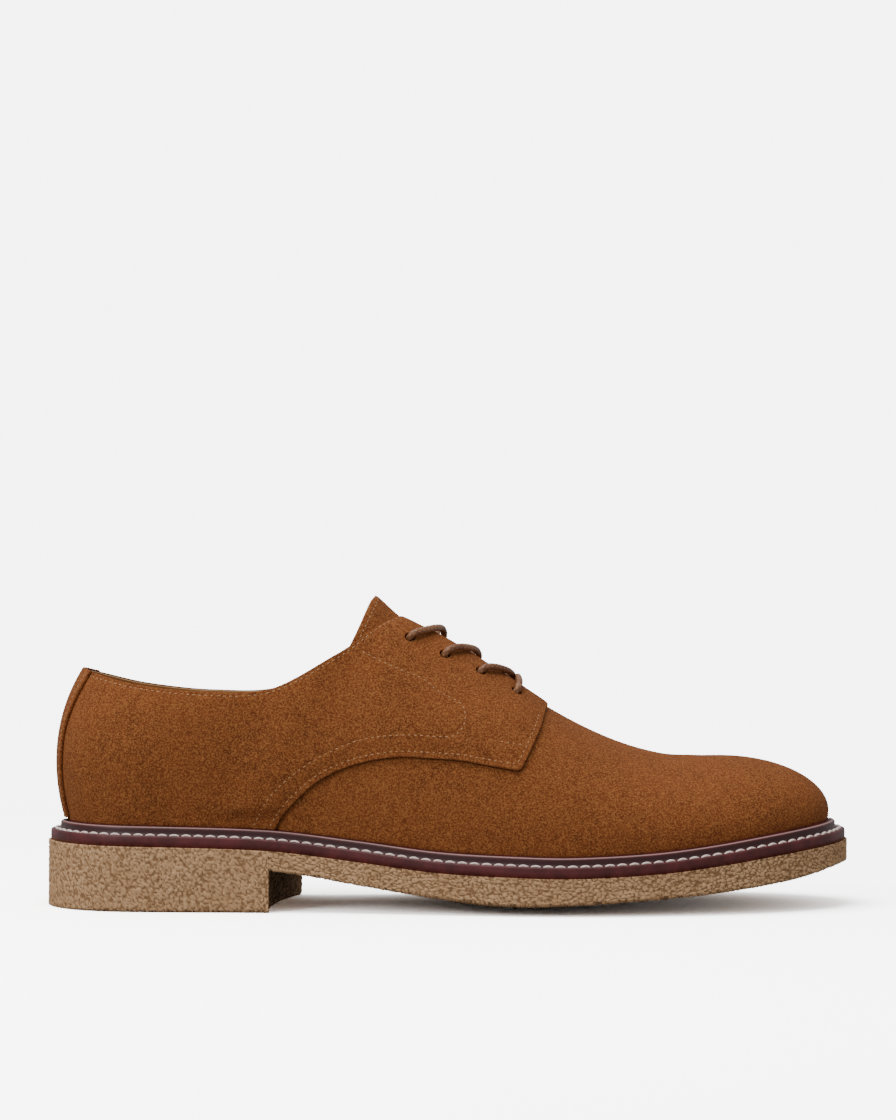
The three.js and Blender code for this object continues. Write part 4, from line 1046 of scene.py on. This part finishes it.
# Tongue: a leaf of the same suede, sewn in under the throat of the vamp. It runs up the instep under
# the lace and stands free above it, with a row of thread along its end. Rows of points run up it.
TONGUE_HALF = 19
TONGUE_LEVEL = lace_inside - LACE / 2 - CLEAR
END_ROW_INSET = 2.2
tongue_tops = [(-15, 106.4), (-20.5, 111.3), (-27.6, 117.9)]
tongue_sides = [(-16, 95), (-25, 97.5), (-36, 99.5)]
angles = np.radians(np.linspace(-90, 90, 31))
rows = []
for x in (35, 31, 27, 22, 14, 6, -2, -10):
    level = mix(-SUEDE - LAYER_GAP, TONGUE_LEVEL, 1 - ramp(x, 27, 33))
    place = point_over(x, TONGUE_HALF * np.abs(np.sin(angles)), np.where(angles < 0, -1, 1))
    rows.append(off_last(*place, np.full(len(angles), level)))
for (x, z), edge, peak in zip(tongue_tops, tongue_sides, (0.6, 0.45, 0.15)):
    corners = []
    for side in (-1, 1):
        rib, rise = locate([edge], side)
        corners.append(off_last(side * rib, rise, np.full(1, TONGUE_LEVEL - 0.6))[0])
    ends = np.where((angles < 0)[:, None], corners[0], corners[1])
    drop = mix(1 - np.cos(angles), np.abs(np.sin(angles)), peak)[:, None]
    row = np.array([x, 0, z]) * (1 - drop) + ends * drop
    row[:, 1] = ends[:, 1] * np.abs(np.sin(angles))
    rows.append(row)
control = np.array(rows)


def resampled(line, count):
    """A smooth line of this many points through the given ones, even in their numbering."""
    p = np.concatenate([[2 * line[0] - line[1]], line, [2 * line[-1] - line[-2]]])
    at = np.linspace(0, len(line) - 1, count)
    i = np.minimum(at.astype(int), len(line) - 2)
    t = (at - i)[:, None]
    return curve_through(p[i], p[i + 1], p[i + 2], p[i + 3], t)


tongue_grid = np.array([resampled(control[:, j], fine(110)) for j in range(control.shape[1])])
tongue_grid = np.array([resampled(tongue_grid[:, i], fine(61)) for i in range(tongue_grid.shape[1])])


def grid_normals(grid):
    up, across = np.gradient(grid, axis=0), np.gradient(grid, axis=1)
    return unit(np.cross(across, up))


tongue_normals = grid_normals(tongue_grid)
outer = tongue_grid.copy()
for inset, depth in ((0, 0.35), (1, 0.1)):
    outer[-1 - inset] -= tongue_normals[-1 - inset] * depth
    outer[:, inset] -= tongue_normals[:, inset] * depth
    outer[:, -1 - inset] -= tongue_normals[:, -1 - inset] * depth
points, faces = grid_shell(outer, tongue_grid - tongue_normals * SUEDE)
tongue = make_mesh("tongue_suede", points, faces, suede, ["tongue"], body=None)
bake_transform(tongue)

from_end = np.linalg.norm(tongue_grid[-1] - tongue_grid, axis=2)
end_row = [int(np.argmin(np.abs(gap - END_ROW_INSET))) for gap in from_end.T[3:-3]]
columns = np.arange(3, tongue_grid.shape[1] - 3)
row_line, row_normals = tongue_grid[end_row, columns], tongue_normals[end_row, columns]
points, faces = stitch_row(row_line, row_normals, STRIP_ROW_WIDTH)
end_stitches = make_mesh("tongue_end_stitches", points, faces, thread, [], body=None)
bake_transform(end_stitches)


# Linings: thin vegetable-tanned leather, smooth side to the foot, cemented to the inside of the
# quarters, the vamp and the tongue and trimmed flush at the collar.

# Undyed lining leather, glazed: a low shine that is duller in the pores, and tan that has darkened
# unevenly. Pores of 0.1 mm would not show, so they are drawn coarser.
TAN_PATCH = 18
PORE = 0.7
lining_leather, tree, surface, mm = new_material("smooth_lining_leather", Specular_IOR_Level=0.35)
tan = add_node(tree, "TexNoise", "Fac", {"Vector": mm, "Scale": 1 / TAN_PATCH, "Detail": 4})
tan = add_node(tree, "MapRange", "Result", {"Value": tan, "From Min": 0.35, "From Max": 0.65}, **SOFT)
tone = add_node(tree, "Mix", 2, {0: tan, 6: linear("#a9794a"), 7: linear("#c09466")}, **COLOUR)
tree.links.new(tone, surface.inputs["Base Color"])
pores = add_node(tree, "TexNoise", "Fac", {"Vector": mm, "Scale": 1 / PORE, "Detail": 4, "Roughness": 0.6})
relief = add_node(tree, "Bump", "Normal", {"Height": pores, "Distance": 0.1 / 1000, "Strength": 0.5})
tree.links.new(relief, surface.inputs["Normal"])
shine = {"Value": pores, "From Min": 0.3, "From Max": 0.7, "To Min": 0.44, "To Max": 0.6}
tree.links.new(add_node(tree, "MapRange", "Result", shine, **SOFT), surface.inputs["Roughness"])

# Rear edge of the quarter's lining in side view, and its foot in rib numbers.
lining_edge = [(-65, 49), (-57, 61.5), (-42, 69.5), (-22, 72), (-5, 72.5), (9, 73), (19, 76.5), (23, 80)]
LINING_FOOT = 4.15
LINING_THROAT = 25


def lining_level(rib, rise, base):
    """Against the suede at the collar, and behind the counter round the heel."""
    behind = 1 - ramp(np.abs(rib), 3.7, 4.5)
    below = 1 - ramp(rise, 0.72, 0.86)
    counter = (STIFFENER + LAYER_GAP) * behind * below
    gap = mix(LAYER_GAP, 0.06, ramp(rise, 0.9, 0.97))
    return quarter_lift(rib, rise, base) - SUEDE - gap - counter


for side, name in ((-1, "outer"), (1, "inner")):
    rear = laid(smooth_line(lining_edge, 0.8), side)
    facing, topline = top_lines(side, rib_at_top(LINING_THROAT))
    heel_u = topline[-1][0]
    foot_u = float(to_plane(LINING_FOOT, 0.0)[0])
    loop = joined(
        [
            [(heel_u, WALL), (heel_u, -FOLD)],
            [(heel_u, -FOLD), (foot_u, -FOLD)],
            [(foot_u, -FOLD), (foot_u, 0.14 * WALL)],
            [(foot_u, 0.14 * WALL), tuple(rear[0])],
            rear,
            [tuple(rear[-1]), tuple(facing[0])],
            facing,
            topline,
        ],
        [0, 0, 0, 0, 0, 0, 0, 0],
    )
    points, faces = cut_piece(
        loop, hole_loops(side, HOLE_DIAMETER), side, lining_level, LINING, fine(1.6), 0.2
    )
    piece = f"{name}_quarter_lining"
    make_mesh(piece + "_leather", points, faces, lining_leather, [piece])

# The vamp's lining laps over the quarter's, and sinks from there to make room for the toe puff.
vamp_lining_rear = [(-70.5, 47), (-62, 61), (-45, 71.5), (-24, 74.5), (-8, 74), (8, 71), (22, 69)]
vamp_lining_rear += [(36, 69)]
VAMP_LINING_THROAT = 39
ribs, rises = vamp_grid(fine(110), fine(40), vamp_lining_rear, VAMP_LINING_THROAT)
steps = np.linalg.norm(np.diff(last_point(ribs, rises), axis=0), axis=2)
from_rear = np.concatenate([np.zeros((1, ribs.shape[1])), np.cumsum(steps, axis=0)])
lap = mix(-LINING - 0.1, -SUEDE - 0.2, ramp(from_rear, 2, 6))
deep = np.maximum(ramp(from_rear, 6, 20), 1 - ramp(rises, 0.12, 0.32))
levels = mix(lap, -SUEDE - STIFFENER - 2 * LAYER_GAP, deep)
outer = off_last(ribs, rises, levels)
inner = off_last(ribs, rises, levels - LINING)
points, faces = grid_shell(outer, inner, True)
make_mesh("vamp_lining_leather", points, faces, lining_leather, ["vamp_lining"])

lining_outer = tongue_grid - tongue_normals * (SUEDE + 0.05)
lining_inner = lining_outer - tongue_normals * LINING
points, faces = grid_shell(lining_outer, lining_inner)
tongue_lining = make_mesh(
    "tongue_lining_leather", points, faces, lining_leather, ["tongue_lining"], body=None
)
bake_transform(tongue_lining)


# Sock: a sheet of the same lining leather, cut to the outline of the foot and cemented on the insole
# board. It is flat from side to side and follows the arch of the shoe.
SOCK_INSET = 1.9


def plate(reach, low, high, rows, columns):
    """A plate inside the welt's outline moved by reach, between two heights given along x."""
    ribs = [np.linspace(0, 1, 16)[:-1], np.linspace(1, 13, rows), np.linspace(13, TOE, 16)[1:]]
    ribs = np.concatenate(ribs)
    shares = np.linspace(0, 1, columns)[None, :, None]
    grids = []
    for height in (high, low):
        ends = []
        for side in (-1, 1):
            foot = rail(0, side * ribs)
            plan = (foot + outward_at(side * ribs) * reach)[:, :2]
            ends.append(np.concatenate([plan, height(foot[:, 0])[:, None]], 1))
        grids.append(ends[0][:, None] * (1 - shares) + ends[1][:, None] * shares)
    return grid_shell(*grids)


points, faces = plate(INSIDE - SOCK_INSET, sock_low, sock_high, 90, 24)
make_mesh("sock_leather", points, faces, lining_leather, ["sock_liner"])


# Sole: one unit of natural crepe rubber, moulded with its heel, an arched waist and a rounded tread,
# and cemented under the welt. Its skin is all pebbles with creases between them.
# The tread's edge stands at these heights along x, and its middle is lower by the crown.
edge_height = through(
    [(-62, 15), (-52, 13.5), (-24, 9), (4.4, 5.2), (21, 3.8)]
    + [(36, 3.8), (65, 5.4), (95, 7.7), (127, 12), (149, 17)]
)
CROWN = 3.6
WELT_THICKNESS = 4.2
BREAST_OUTSIDE = -65.5
BREAST_INSIDE = -58
BREAST_HOLLOW = 4
SOLE_CHAMFER = 0.9
PIT_DEPTH = 0.55
PIT_SIZE = 1.55


def sole_top(x):
    return lip_top(x) - LIP_HEIGHT - WELT_THICKNESS


def rib_at_plan(x, side):
    """Rib number whose foot is at this x."""
    return float(halved(np.array(0.5), np.array(TOE - 0.5), lambda rib: rail(0, side * rib)[..., 0] < x))


def sole_ring(outside_rib, inside_rib, is_heel, hollow, across, up):
    """One closed section of the sole: along the bottom, up the inside, back over the top, down."""
    outside = rail(0, -outside_rib) + outward_at(-outside_rib) * SOLE_REACH
    inside = rail(0, inside_rib) + outward_at(inside_rib) * SOLE_REACH
    span = max(np.linalg.norm(inside[:2] - outside[:2]), 0.01)
    shares = np.linspace(0, 1, across)
    bottom = outside * (1 - shares[:, None]) + inside * shares[:, None]
    middle = 4 * shares * (1 - shares)
    bottom[:, 0] -= hollow * middle
    x = bottom[:, 0]
    crown = CROWN * ramp(x, -52, 18) * (1 - 0.6 * ramp(x, 40, 140))
    bottom[:, 2] = 0 if is_heel else edge_height(x) - crown * middle
    edge_gap = np.minimum(shares, 1 - shares) * span
    turned = np.maximum(SOLE_CHAMFER - edge_gap, 0)
    bottom[:, 2] += SOLE_CHAMFER - np.sqrt(np.maximum(SOLE_CHAMFER**2 - turned**2, 0))
    top = [sole_top(rail(0, -outside_rib)[0]), sole_top(rail(0, inside_rib)[0])]
    t = np.linspace(0, 1, up)[1:, None]
    rise_in = np.array([*inside[:2], top[1]]) * t + bottom[-1] * (1 - t)
    rise_out = (np.array([*outside[:2], top[0]]) * t + bottom[0] * (1 - t))[::-1]
    cover = np.linspace(0, 1, 6)[1:-1, None]
    lid = rise_in[-1] * (1 - cover) + rise_out[0] * cover
    return np.concatenate([bottom, rise_in, lid, rise_out])


breast = [rib_at_plan(BREAST_OUTSIDE, -1), rib_at_plan(BREAST_INSIDE, 1)]
rib_step = fine(0.02)
across_count, up_count = fine(80), fine(44)
rings = []
heel_end = min(breast) - 0.1
for rib in np.arange(0, heel_end, rib_step):
    rings.append(sole_ring(rib, rib, True, 0, across_count, up_count))
for t in np.linspace(0, 1, fine(16)):
    pair = [mix(heel_end, b, t) for b in breast]
    rings.append(sole_ring(*pair, True, BREAST_HOLLOW * t, across_count, up_count))
heel_face = rings[-1]
waist_face = sole_ring(*breast, False, BREAST_HOLLOW, across_count, up_count)
for t in np.linspace(0, 1, fine(30))[1:]:
    rings.append(mix(heel_face, waist_face, t))
front_start = max(breast) + 0.3
for t in np.linspace(0, 1, fine(26))[1:-1]:
    pair = [mix(b, front_start, t) for b in breast]
    rings.append(sole_ring(*pair, False, BREAST_HOLLOW * (1 - t), across_count, up_count))
for rib in [*np.arange(front_start, TOE, rib_step), TOE]:
    rings.append(sole_ring(rib, rib, False, 0, across_count, up_count))
rings = np.array(rings)
normals = grid_normals(rings)
flat = rings.reshape(-1, 3)


def crepe_height(p):
    """Height of the crepe's skin at a point: pebbles with creases between them."""
    v = Vector(p) / PIT_SIZE
    v += 0.35 * noise.noise_vector(v * 0.8)
    near = noise.voronoi(v, distance_metric="DISTANCE")[0]
    pebble = min(1.0, (near[1] - near[0]) * 4)
    return 0.7 * pebble + 0.3 * noise.fractal(v * 1.5, 1.0, 2.0, 3) - 0.7


# Without a seed the warp of the pebbles would differ from run to run.
noise.seed_set(7)
heights = np.array([crepe_height(p) for p in flat])
outward = normals.reshape(-1, 3)
middles = rings.mean(1)[:, None].repeat(rings.shape[1], 1).reshape(-1, 3)
flip = np.sign(np.sum(outward * (flat - middles), 1))
flip[flip == 0] = 1
on_lid = np.zeros(rings.shape[:2], bool)
on_lid[:, across_count + up_count - 2 : across_count + up_count + 4] = True
depth = np.where(on_lid.reshape(-1), 0.0, PIT_DEPTH)
moved = flat + outward * (flip * heights * depth)[:, None]
moved[:, 2] = np.maximum(moved[:, 2], 0.0)
moved[:, 2] = np.minimum(moved[:, 2], sole_top(flat[:, 0]) + 0.02)
faces = grid_faces(len(rings), rings.shape[1], wrap=True)

# Natural crepe rubber: matt and slightly translucent-looking, honey on the pebbles with painted shade in
# the creases between them, and darker crumbs. The crumbs are about a millimetre, as on the real sheet.
CRUMB = 0.9
CLOUD = 9
crepe, tree, surface, mm = new_material("natural_crepe_rubber", Roughness=0.82, Specular_IOR_Level=0.3)
skin = add_node(tree, "Attribute", "Fac", attribute_name="skin_height")
painted_crease_shade_mix = add_node(tree, "MapRange", "Result", {"Value": skin, "From Min": -0.6, "From Max": -0.12}, **SOFT)
crumb = {"Vector": mm, "Scale": 1 / CRUMB, "Detail": 5, "Roughness": 0.65}
crumb = add_node(tree, "TexNoise", "Fac", crumb)
cloud = add_node(tree, "TexNoise", "Fac", {"Vector": mm, "Scale": 1 / CLOUD, "Detail": 4})
cloud = add_node(tree, "MapRange", "Result", {"Value": cloud, "From Min": 0.35, "From Max": 0.65}, **SOFT)
tone = add_node(tree, "Mix", 2, {0: cloud, 6: linear("#cfa377"), 7: linear("#deb387")}, **COLOUR)
clean = {"Value": crumb, "From Min": 0.36, "From Max": 0.6, "To Max": 0.9}
clean = add_node(tree, "MapRange", "Result", clean, **SOFT)
tone = add_node(tree, "Mix", 2, {0: clean, 6: linear("#b48e69"), 7: tone}, **COLOUR)
# Painted shade in the creases: the lower the skin, the browner.
tone = add_node(tree, "Mix", 2, {0: painted_crease_shade_mix, 6: linear("#906c4a"), 7: tone}, **COLOUR)
tree.links.new(tone, surface.inputs["Base Color"])
relief = add_node(tree, "Bump", "Normal", {"Height": crumb, "Distance": 0.45 / 1000, "Strength": 0.8})
tree.links.new(relief, surface.inputs["Normal"])
outside = facing_out(moved, faces)
sole = make_mesh("crepe_sole_unit", moved, outside, crepe, ["crepe_sole"])
skin_height = sole.data.attributes.new("skin_height", "FLOAT", "POINT")
skin_height.data.foreach_set("value", heights.astype(np.float32))


# Welt: a strip of burgundy waxed leather with a storm lip rolled against the upper. It is sewn to the
# upper's turned edge, and a pale waxed lockstitch along its shelf holds it to the sole.
# Its section is given as reach outward from the last's outline and height over the lip's top.
LIP_WIDTH = 2.1
WELT_REACH = 6.1
SHELF = -LIP_HEIGHT
welt_bottom = SHELF - WELT_THICKNESS + 0.05
under_fold = FOLD_RADIUS + 0.1
fold_arc = [
    (-FOLD_RADIUS + under_fold * math.cos(a), FOLD_RADIUS - LIP_HEIGHT - under_fold * math.sin(a))
    for a in np.radians([18, 30, 45, 60, 75, 90])
]
lip_radius = 0.85
lip_middle = (LIP_WIDTH - lip_radius + 0.25, -lip_radius + 0.05)
lip_arc = [
    (lip_middle[0] + lip_radius * math.cos(a), lip_middle[1] + lip_radius * math.sin(a))
    for a in np.radians([0, 22, 45, 68, 90, 112, 135])
]
welt_section = [
    (WELT_REACH, welt_bottom),
    (WELT_REACH, SHELF - 2.2),
    (WELT_REACH, SHELF - 0.75),
    (WELT_REACH - 0.08, SHELF - 0.4),
    (WELT_REACH - 0.3, SHELF - 0.12),
    (WELT_REACH - 0.65, SHELF),
    (WELT_REACH - 1.2, SHELF - 0.03),
    (WELT_REACH - 1.9, SHELF - 0.2),
    (WELT_REACH - 2.6, SHELF - 0.03),
    (LIP_WIDTH + 0.85, SHELF + 0.02),
    (LIP_WIDTH + 0.45, SHELF + 0.25),
    (LIP_WIDTH + 0.3, SHELF + 0.8),
    (LIP_WIDTH + 0.27, SHELF + 1.5),
    *lip_arc,
    *fold_arc,
    (-FOLD_RADIUS - 2.4, fold_arc[-1][1]),
    (-FOLD_RADIUS - 2.4, welt_bottom),
]


def swept(section, ribs):
    """The section carried round the last's outline."""
    foot, out = rail(0, ribs), outward_at(ribs)
    base = lip_top(foot[:, 0])
    reach, height = np.array(section, float).T
    points = foot[:, None] + out[:, None] * reach[None, :, None]
    points[:, :, 2] = base[:, None] + height[None]
    return points


around = np.linspace(-TOE, TOE, fine(900), endpoint=False)
welt_rings = swept(welt_section, around)
count = welt_rings.shape[1]
faces = grid_faces(len(around), count, wrap=True)
last_start = (len(around) - 1) * count
faces += [[last_start + j, last_start + (j + 1) % count, (j + 1) % count, j] for j in range(count)]
points = welt_rings.reshape(-1, 3)

# Burgundy waxed leather, burnished: a satin shine with scuffs, painted shade almost black on the lip's
# face, and a painted pale pink highlight along the lip's top. The attribute runs from -1, painted shade, to
# 1, painted highlight.
WAX_PATCH = 7
SCUFF = 0.6
welt_leather, tree, surface, mm = new_material("burgundy_waxed_welt", Specular_IOR_Level=0.4)
wax = {"Vector": mm, "Scale": 1 / WAX_PATCH, "Detail": 5, "Roughness": 0.6}
wax = add_node(tree, "TexNoise", "Fac", wax)
wax = add_node(tree, "MapRange", "Result", {"Value": wax, "From Min": 0.32, "From Max": 0.68}, **SOFT)
painted_lip_light_attribute = add_node(tree, "Attribute", "Fac", attribute_name="painted_lip_light")
# The attribute's negative part paints shade on the lip's face, and its positive part paints a highlight on
# its top.
painted_lip_shade = add_node(tree, "MapRange", "Result", {"Value": painted_lip_light_attribute, "From Min": 0, "From Max": -1}, **SOFT)
painted_lip_light = add_node(tree, "MapRange", "Result", {"Value": painted_lip_light_attribute, "To Max": 0.75}, **SOFT)
tone = add_node(tree, "Mix", 2, {0: wax, 6: linear("#48191b"), 7: linear("#612629")}, **COLOUR)
tone = add_node(tree, "Mix", 2, {0: painted_lip_shade, 6: tone, 7: linear("#3a191b")}, **COLOUR)
tone = add_node(tree, "Mix", 2, {0: painted_lip_light, 6: tone, 7: linear("#b3938f")}, **COLOUR)
tree.links.new(tone, surface.inputs["Base Color"])
scuff = {"Vector": mm, "Scale": 1 / SCUFF, "Detail": 4, "Roughness": 0.65}
scuff = add_node(tree, "TexNoise", "Fac", scuff)
shine = {"Value": scuff, "From Min": 0.3, "From Max": 0.7, "To Min": 0.34, "To Max": 0.52}
tree.links.new(add_node(tree, "MapRange", "Result", shine, **SOFT), surface.inputs["Roughness"])
relief = add_node(tree, "Bump", "Normal", {"Height": scuff, "Distance": 0.07 / 1000, "Strength": 0.6})
tree.links.new(relief, surface.inputs["Normal"])

outside = facing_out(points, faces)
welt = make_mesh("storm_welt_leather", points, outside, welt_leather, ["storm_welt"])
# The lip gets a painted pale highlight along its top and painted shade, almost black, on its face below.
LIP_START = 9
painted_lip_light_by_point = np.zeros(count)
painted_lip_light_by_point[LIP_START : LIP_START + 4] = (-0.5, -0.9, -1, -1)
painted_lip_light_by_point[LIP_START + 4 : LIP_START + 11] = (-0.8, -0.1, 0.7, 1, 0.8, 0.2, 0)
painted_lip_light_attribute = welt.data.attributes.new("painted_lip_light", "FLOAT", "POINT")
painted_lip_light_attribute.data.foreach_set("value", np.tile(painted_lip_light_by_point, len(around)).astype(np.float32))

# Waxed linen thread, pale: thick enough for its twist to show, with a dull shine and pink-brown turns.
LINEN_TWIST = 0.5
welt_thread, tree, surface, mm = new_material("pale_waxed_welt_thread", Roughness=0.5)
twist = add_node(tree, "TexNoise", "Fac", {"Vector": mm, "Scale": 1 / LINEN_TWIST, "Detail": 3})
twist = add_node(tree, "MapRange", "Result", {"Value": twist, "From Min": 0.3, "From Max": 0.7}, **SOFT)
tone = add_node(tree, "Mix", 2, {0: twist, 6: linear("#d8c0b6"), 7: linear("#f6ebe4")}, **COLOUR)
tree.links.new(tone, surface.inputs["Base Color"])
relief = add_node(tree, "Bump", "Normal", {"Height": twist, "Distance": 0.12 / 1000, "Strength": 0.6})
tree.links.new(relief, surface.inputs["Normal"])

STITCH_PITCH = 4.5
STITCH_LENGTH = 3.9
STITCH_WIDTH = 1.3
STITCH_STEPS = 11
STITCH_SIDES = 12
thread_line = swept([(WELT_REACH - 1.9, SHELF - 0.12)], np.linspace(-TOE, TOE, 3000))[:, 0]
stitch_line = evenly(thread_line, STITCH_PITCH)
points, faces = [], []
for a, b in zip(stitch_line, stitch_line[1:]):
    along = unit(b - a)
    up = unit(np.array([0, 0, 1]) - along * along[2])
    across_stitch = np.cross(along, up)
    start = len(points)
    for s in np.linspace(0, math.pi, STITCH_STEPS):
        # Each stitch lies a little aslant, and its ends go down into the welt.
        radius = math.sin(s) ** 0.5 * STITCH_WIDTH / 2
        aslant_by = across_stitch * (0.12 * math.cos(s))
        sunk = up * (0.32 - 0.5 * math.cos(s) ** 2)
        centre = (a + b) / 2 - along * math.cos(s) * STITCH_LENGTH / 2 + aslant_by + sunk
        for turn in np.arange(STITCH_SIDES) * 2 * math.pi / STITCH_SIDES:
            bead = across_stitch * math.cos(turn) + up * 0.75 * math.sin(turn)
            points.append(centre + bead * radius)
    faces += grid_faces(STITCH_STEPS, STITCH_SIDES, start, wrap=True)
make_mesh("welt_lock_stitches", points, faces, welt_thread, ["welt_stitching"])


# Hidden pieces: cork filler, steel shank and insole board under the sock, heel counter and toe puff
# between suede and lining, all cemented in, and an aglet crimped on each end of the lace. They keep
# their CAD shape, and each gets its own material of two tones, with a grain of this size in mm.
def plain_material(name, dark, light, grain_size, roughness, depth, **values):
    made, tree, surface, mm = new_material(name, Roughness=roughness, **values)
    grain = {"Vector": mm, "Scale": 1 / grain_size, "Detail": 5, "Roughness": 0.6}
    grain = add_node(tree, "TexNoise", "Fac", grain)
    grain = add_node(tree, "MapRange", "Result", {"Value": grain, "From Min": 0.3, "From Max": 0.7}, **SOFT)
    tone = add_node(tree, "Mix", 2, {0: grain, 6: linear(dark), 7: linear(light)}, **COLOUR)
    tree.links.new(tone, surface.inputs["Base Color"])
    relief = {"Height": grain, "Distance": depth / 1000, "Strength": 0.6}
    tree.links.new(add_node(tree, "Bump", "Normal", relief), surface.inputs["Normal"])
    return made


# Pressed fibre board: dull, buff and mottled by its fibres.
fibre_board = plain_material("pressed_fibre_board", "#bba987", "#d6c6a4", 1.2, 0.85, 0.1)
# Granulated cork: dull, with brown grains of 2 to 3 mm.
cork = plain_material("granulated_cork", "#6f4a2a", "#ad7f50", 2.5, 0.9, 0.4)
# Spring steel, blued by its heat treatment: a blurred grey-blue shine.
blued_steel = plain_material("blued_spring_steel", "#5b6068", "#8b9098", 8, 0.35, 0.02, Metallic=1.0)
# Cellulose film, rolled and heat-sealed: smooth, brown and glossy.
aglet_film = plain_material("brown_cellulose_aglet", "#3d2216", "#55331f", 3, 0.3, 0.03)
hidden_materials = {
    "insole_board": fibre_board,
    "heel_counter": fibre_board,
    "toe_puff": fibre_board,
    "cork_filler": cork,
    "steel_shank": blued_steel,
    "outer_aglet": aglet_film,
    "inner_aglet": aglet_film,
}
for name, material in hidden_materials.items():
    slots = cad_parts[name].data.materials
    slots.clear()
    slots.append(material)


# Studio: a pale painted floor that meets a pale backdrop, with one wide soft light overhead and a
# smaller one at the front left.
FLOOR_SIZE = 3
floor_data = bpy.data.meshes.new("floor")
half = FLOOR_SIZE / 2
corners = [(-half, -half, 0), (half, -half, 0), (half, half, 0), (-half, half, 0)]
floor_data.from_pydata(corners, [], [(0, 1, 2, 3)])
floor = bpy.data.objects.new("floor", floor_data)
bpy.context.scene.collection.objects.link(floor)

# Matt white paint: the sweep is lit apart from the shoe, as a white backdrop is. What the camera sees
# of it is brighter than the light that it throws back on the shoe, and between two distances in mm the
# floor fades out into the backdrop.
BACKDROP = 6.4
FLOOR_GAIN = 5.7
FLOOR_BOUNCE = 0.32
AMBIENT = 0.5
FADE_START = 260
FADE_END = 800
floor_paint, tree, surface, mm = new_material("matt_white_floor_paint")
tree.nodes.remove(surface)
seen = add_node(tree, "LightPath", "Is Camera Ray")
bounce, gain = (FLOOR_BOUNCE,) * 3 + (1,), (FLOOR_GAIN,) * 3 + (1,)
shade = add_node(tree, "Mix", 2, {0: seen, 6: bounce, 7: gain}, **COLOUR)
matt = add_node(tree, "BsdfDiffuse", 0, {"Color": shade})
clear = add_node(tree, "BsdfTransparent", 0)
away = add_node(tree, "VectorMath", "Value", {0: mm}, operation="LENGTH")
fade = {"Value": away, "From Min": FADE_START, "From Max": FADE_END}
fade = add_node(tree, "MapRange", "Result", fade, **SOFT)
both = add_node(tree, "MixShader", 0, {0: fade, 1: matt, 2: clear})
tree.links.new(both, tree.nodes["Material Output"].inputs["Surface"])
floor_data.materials.append(floor_paint)

world = bpy.data.worlds.new("studio")
world.use_nodes = True
tree = world.node_tree
seen = add_node(tree, "LightPath", "Is Camera Ray")
strength = add_node(tree, "MapRange", "Result", {"Value": seen, "To Min": AMBIENT, "To Max": BACKDROP})
tree.links.new(strength, tree.nodes["Background"].inputs["Strength"])
tree.nodes["Background"].inputs["Color"].default_value = (1, 1, 1, 1)
bpy.context.scene.world = world


def area_light(name, place, aim, size, power):
    light = bpy.data.lights.new(name, "AREA")
    light.shape = "RECTANGLE"
    light.size, light.size_y = size
    light.energy = power
    made = bpy.data.objects.new(name, light)
    made.location = place
    made.rotation_euler = (Vector(aim) - Vector(place)).to_track_quat("-Z", "Y").to_euler()
    bpy.context.scene.collection.objects.link(made)


area_light("overhead", (-0.35, -0.25, 1.5), (0, 0, 0), (1.4, 1.0), 18.5)
area_light("front_left", (-1.3, -1.3, 0.9), (0, 0, 0.05), (0.9, 0.9), 13)
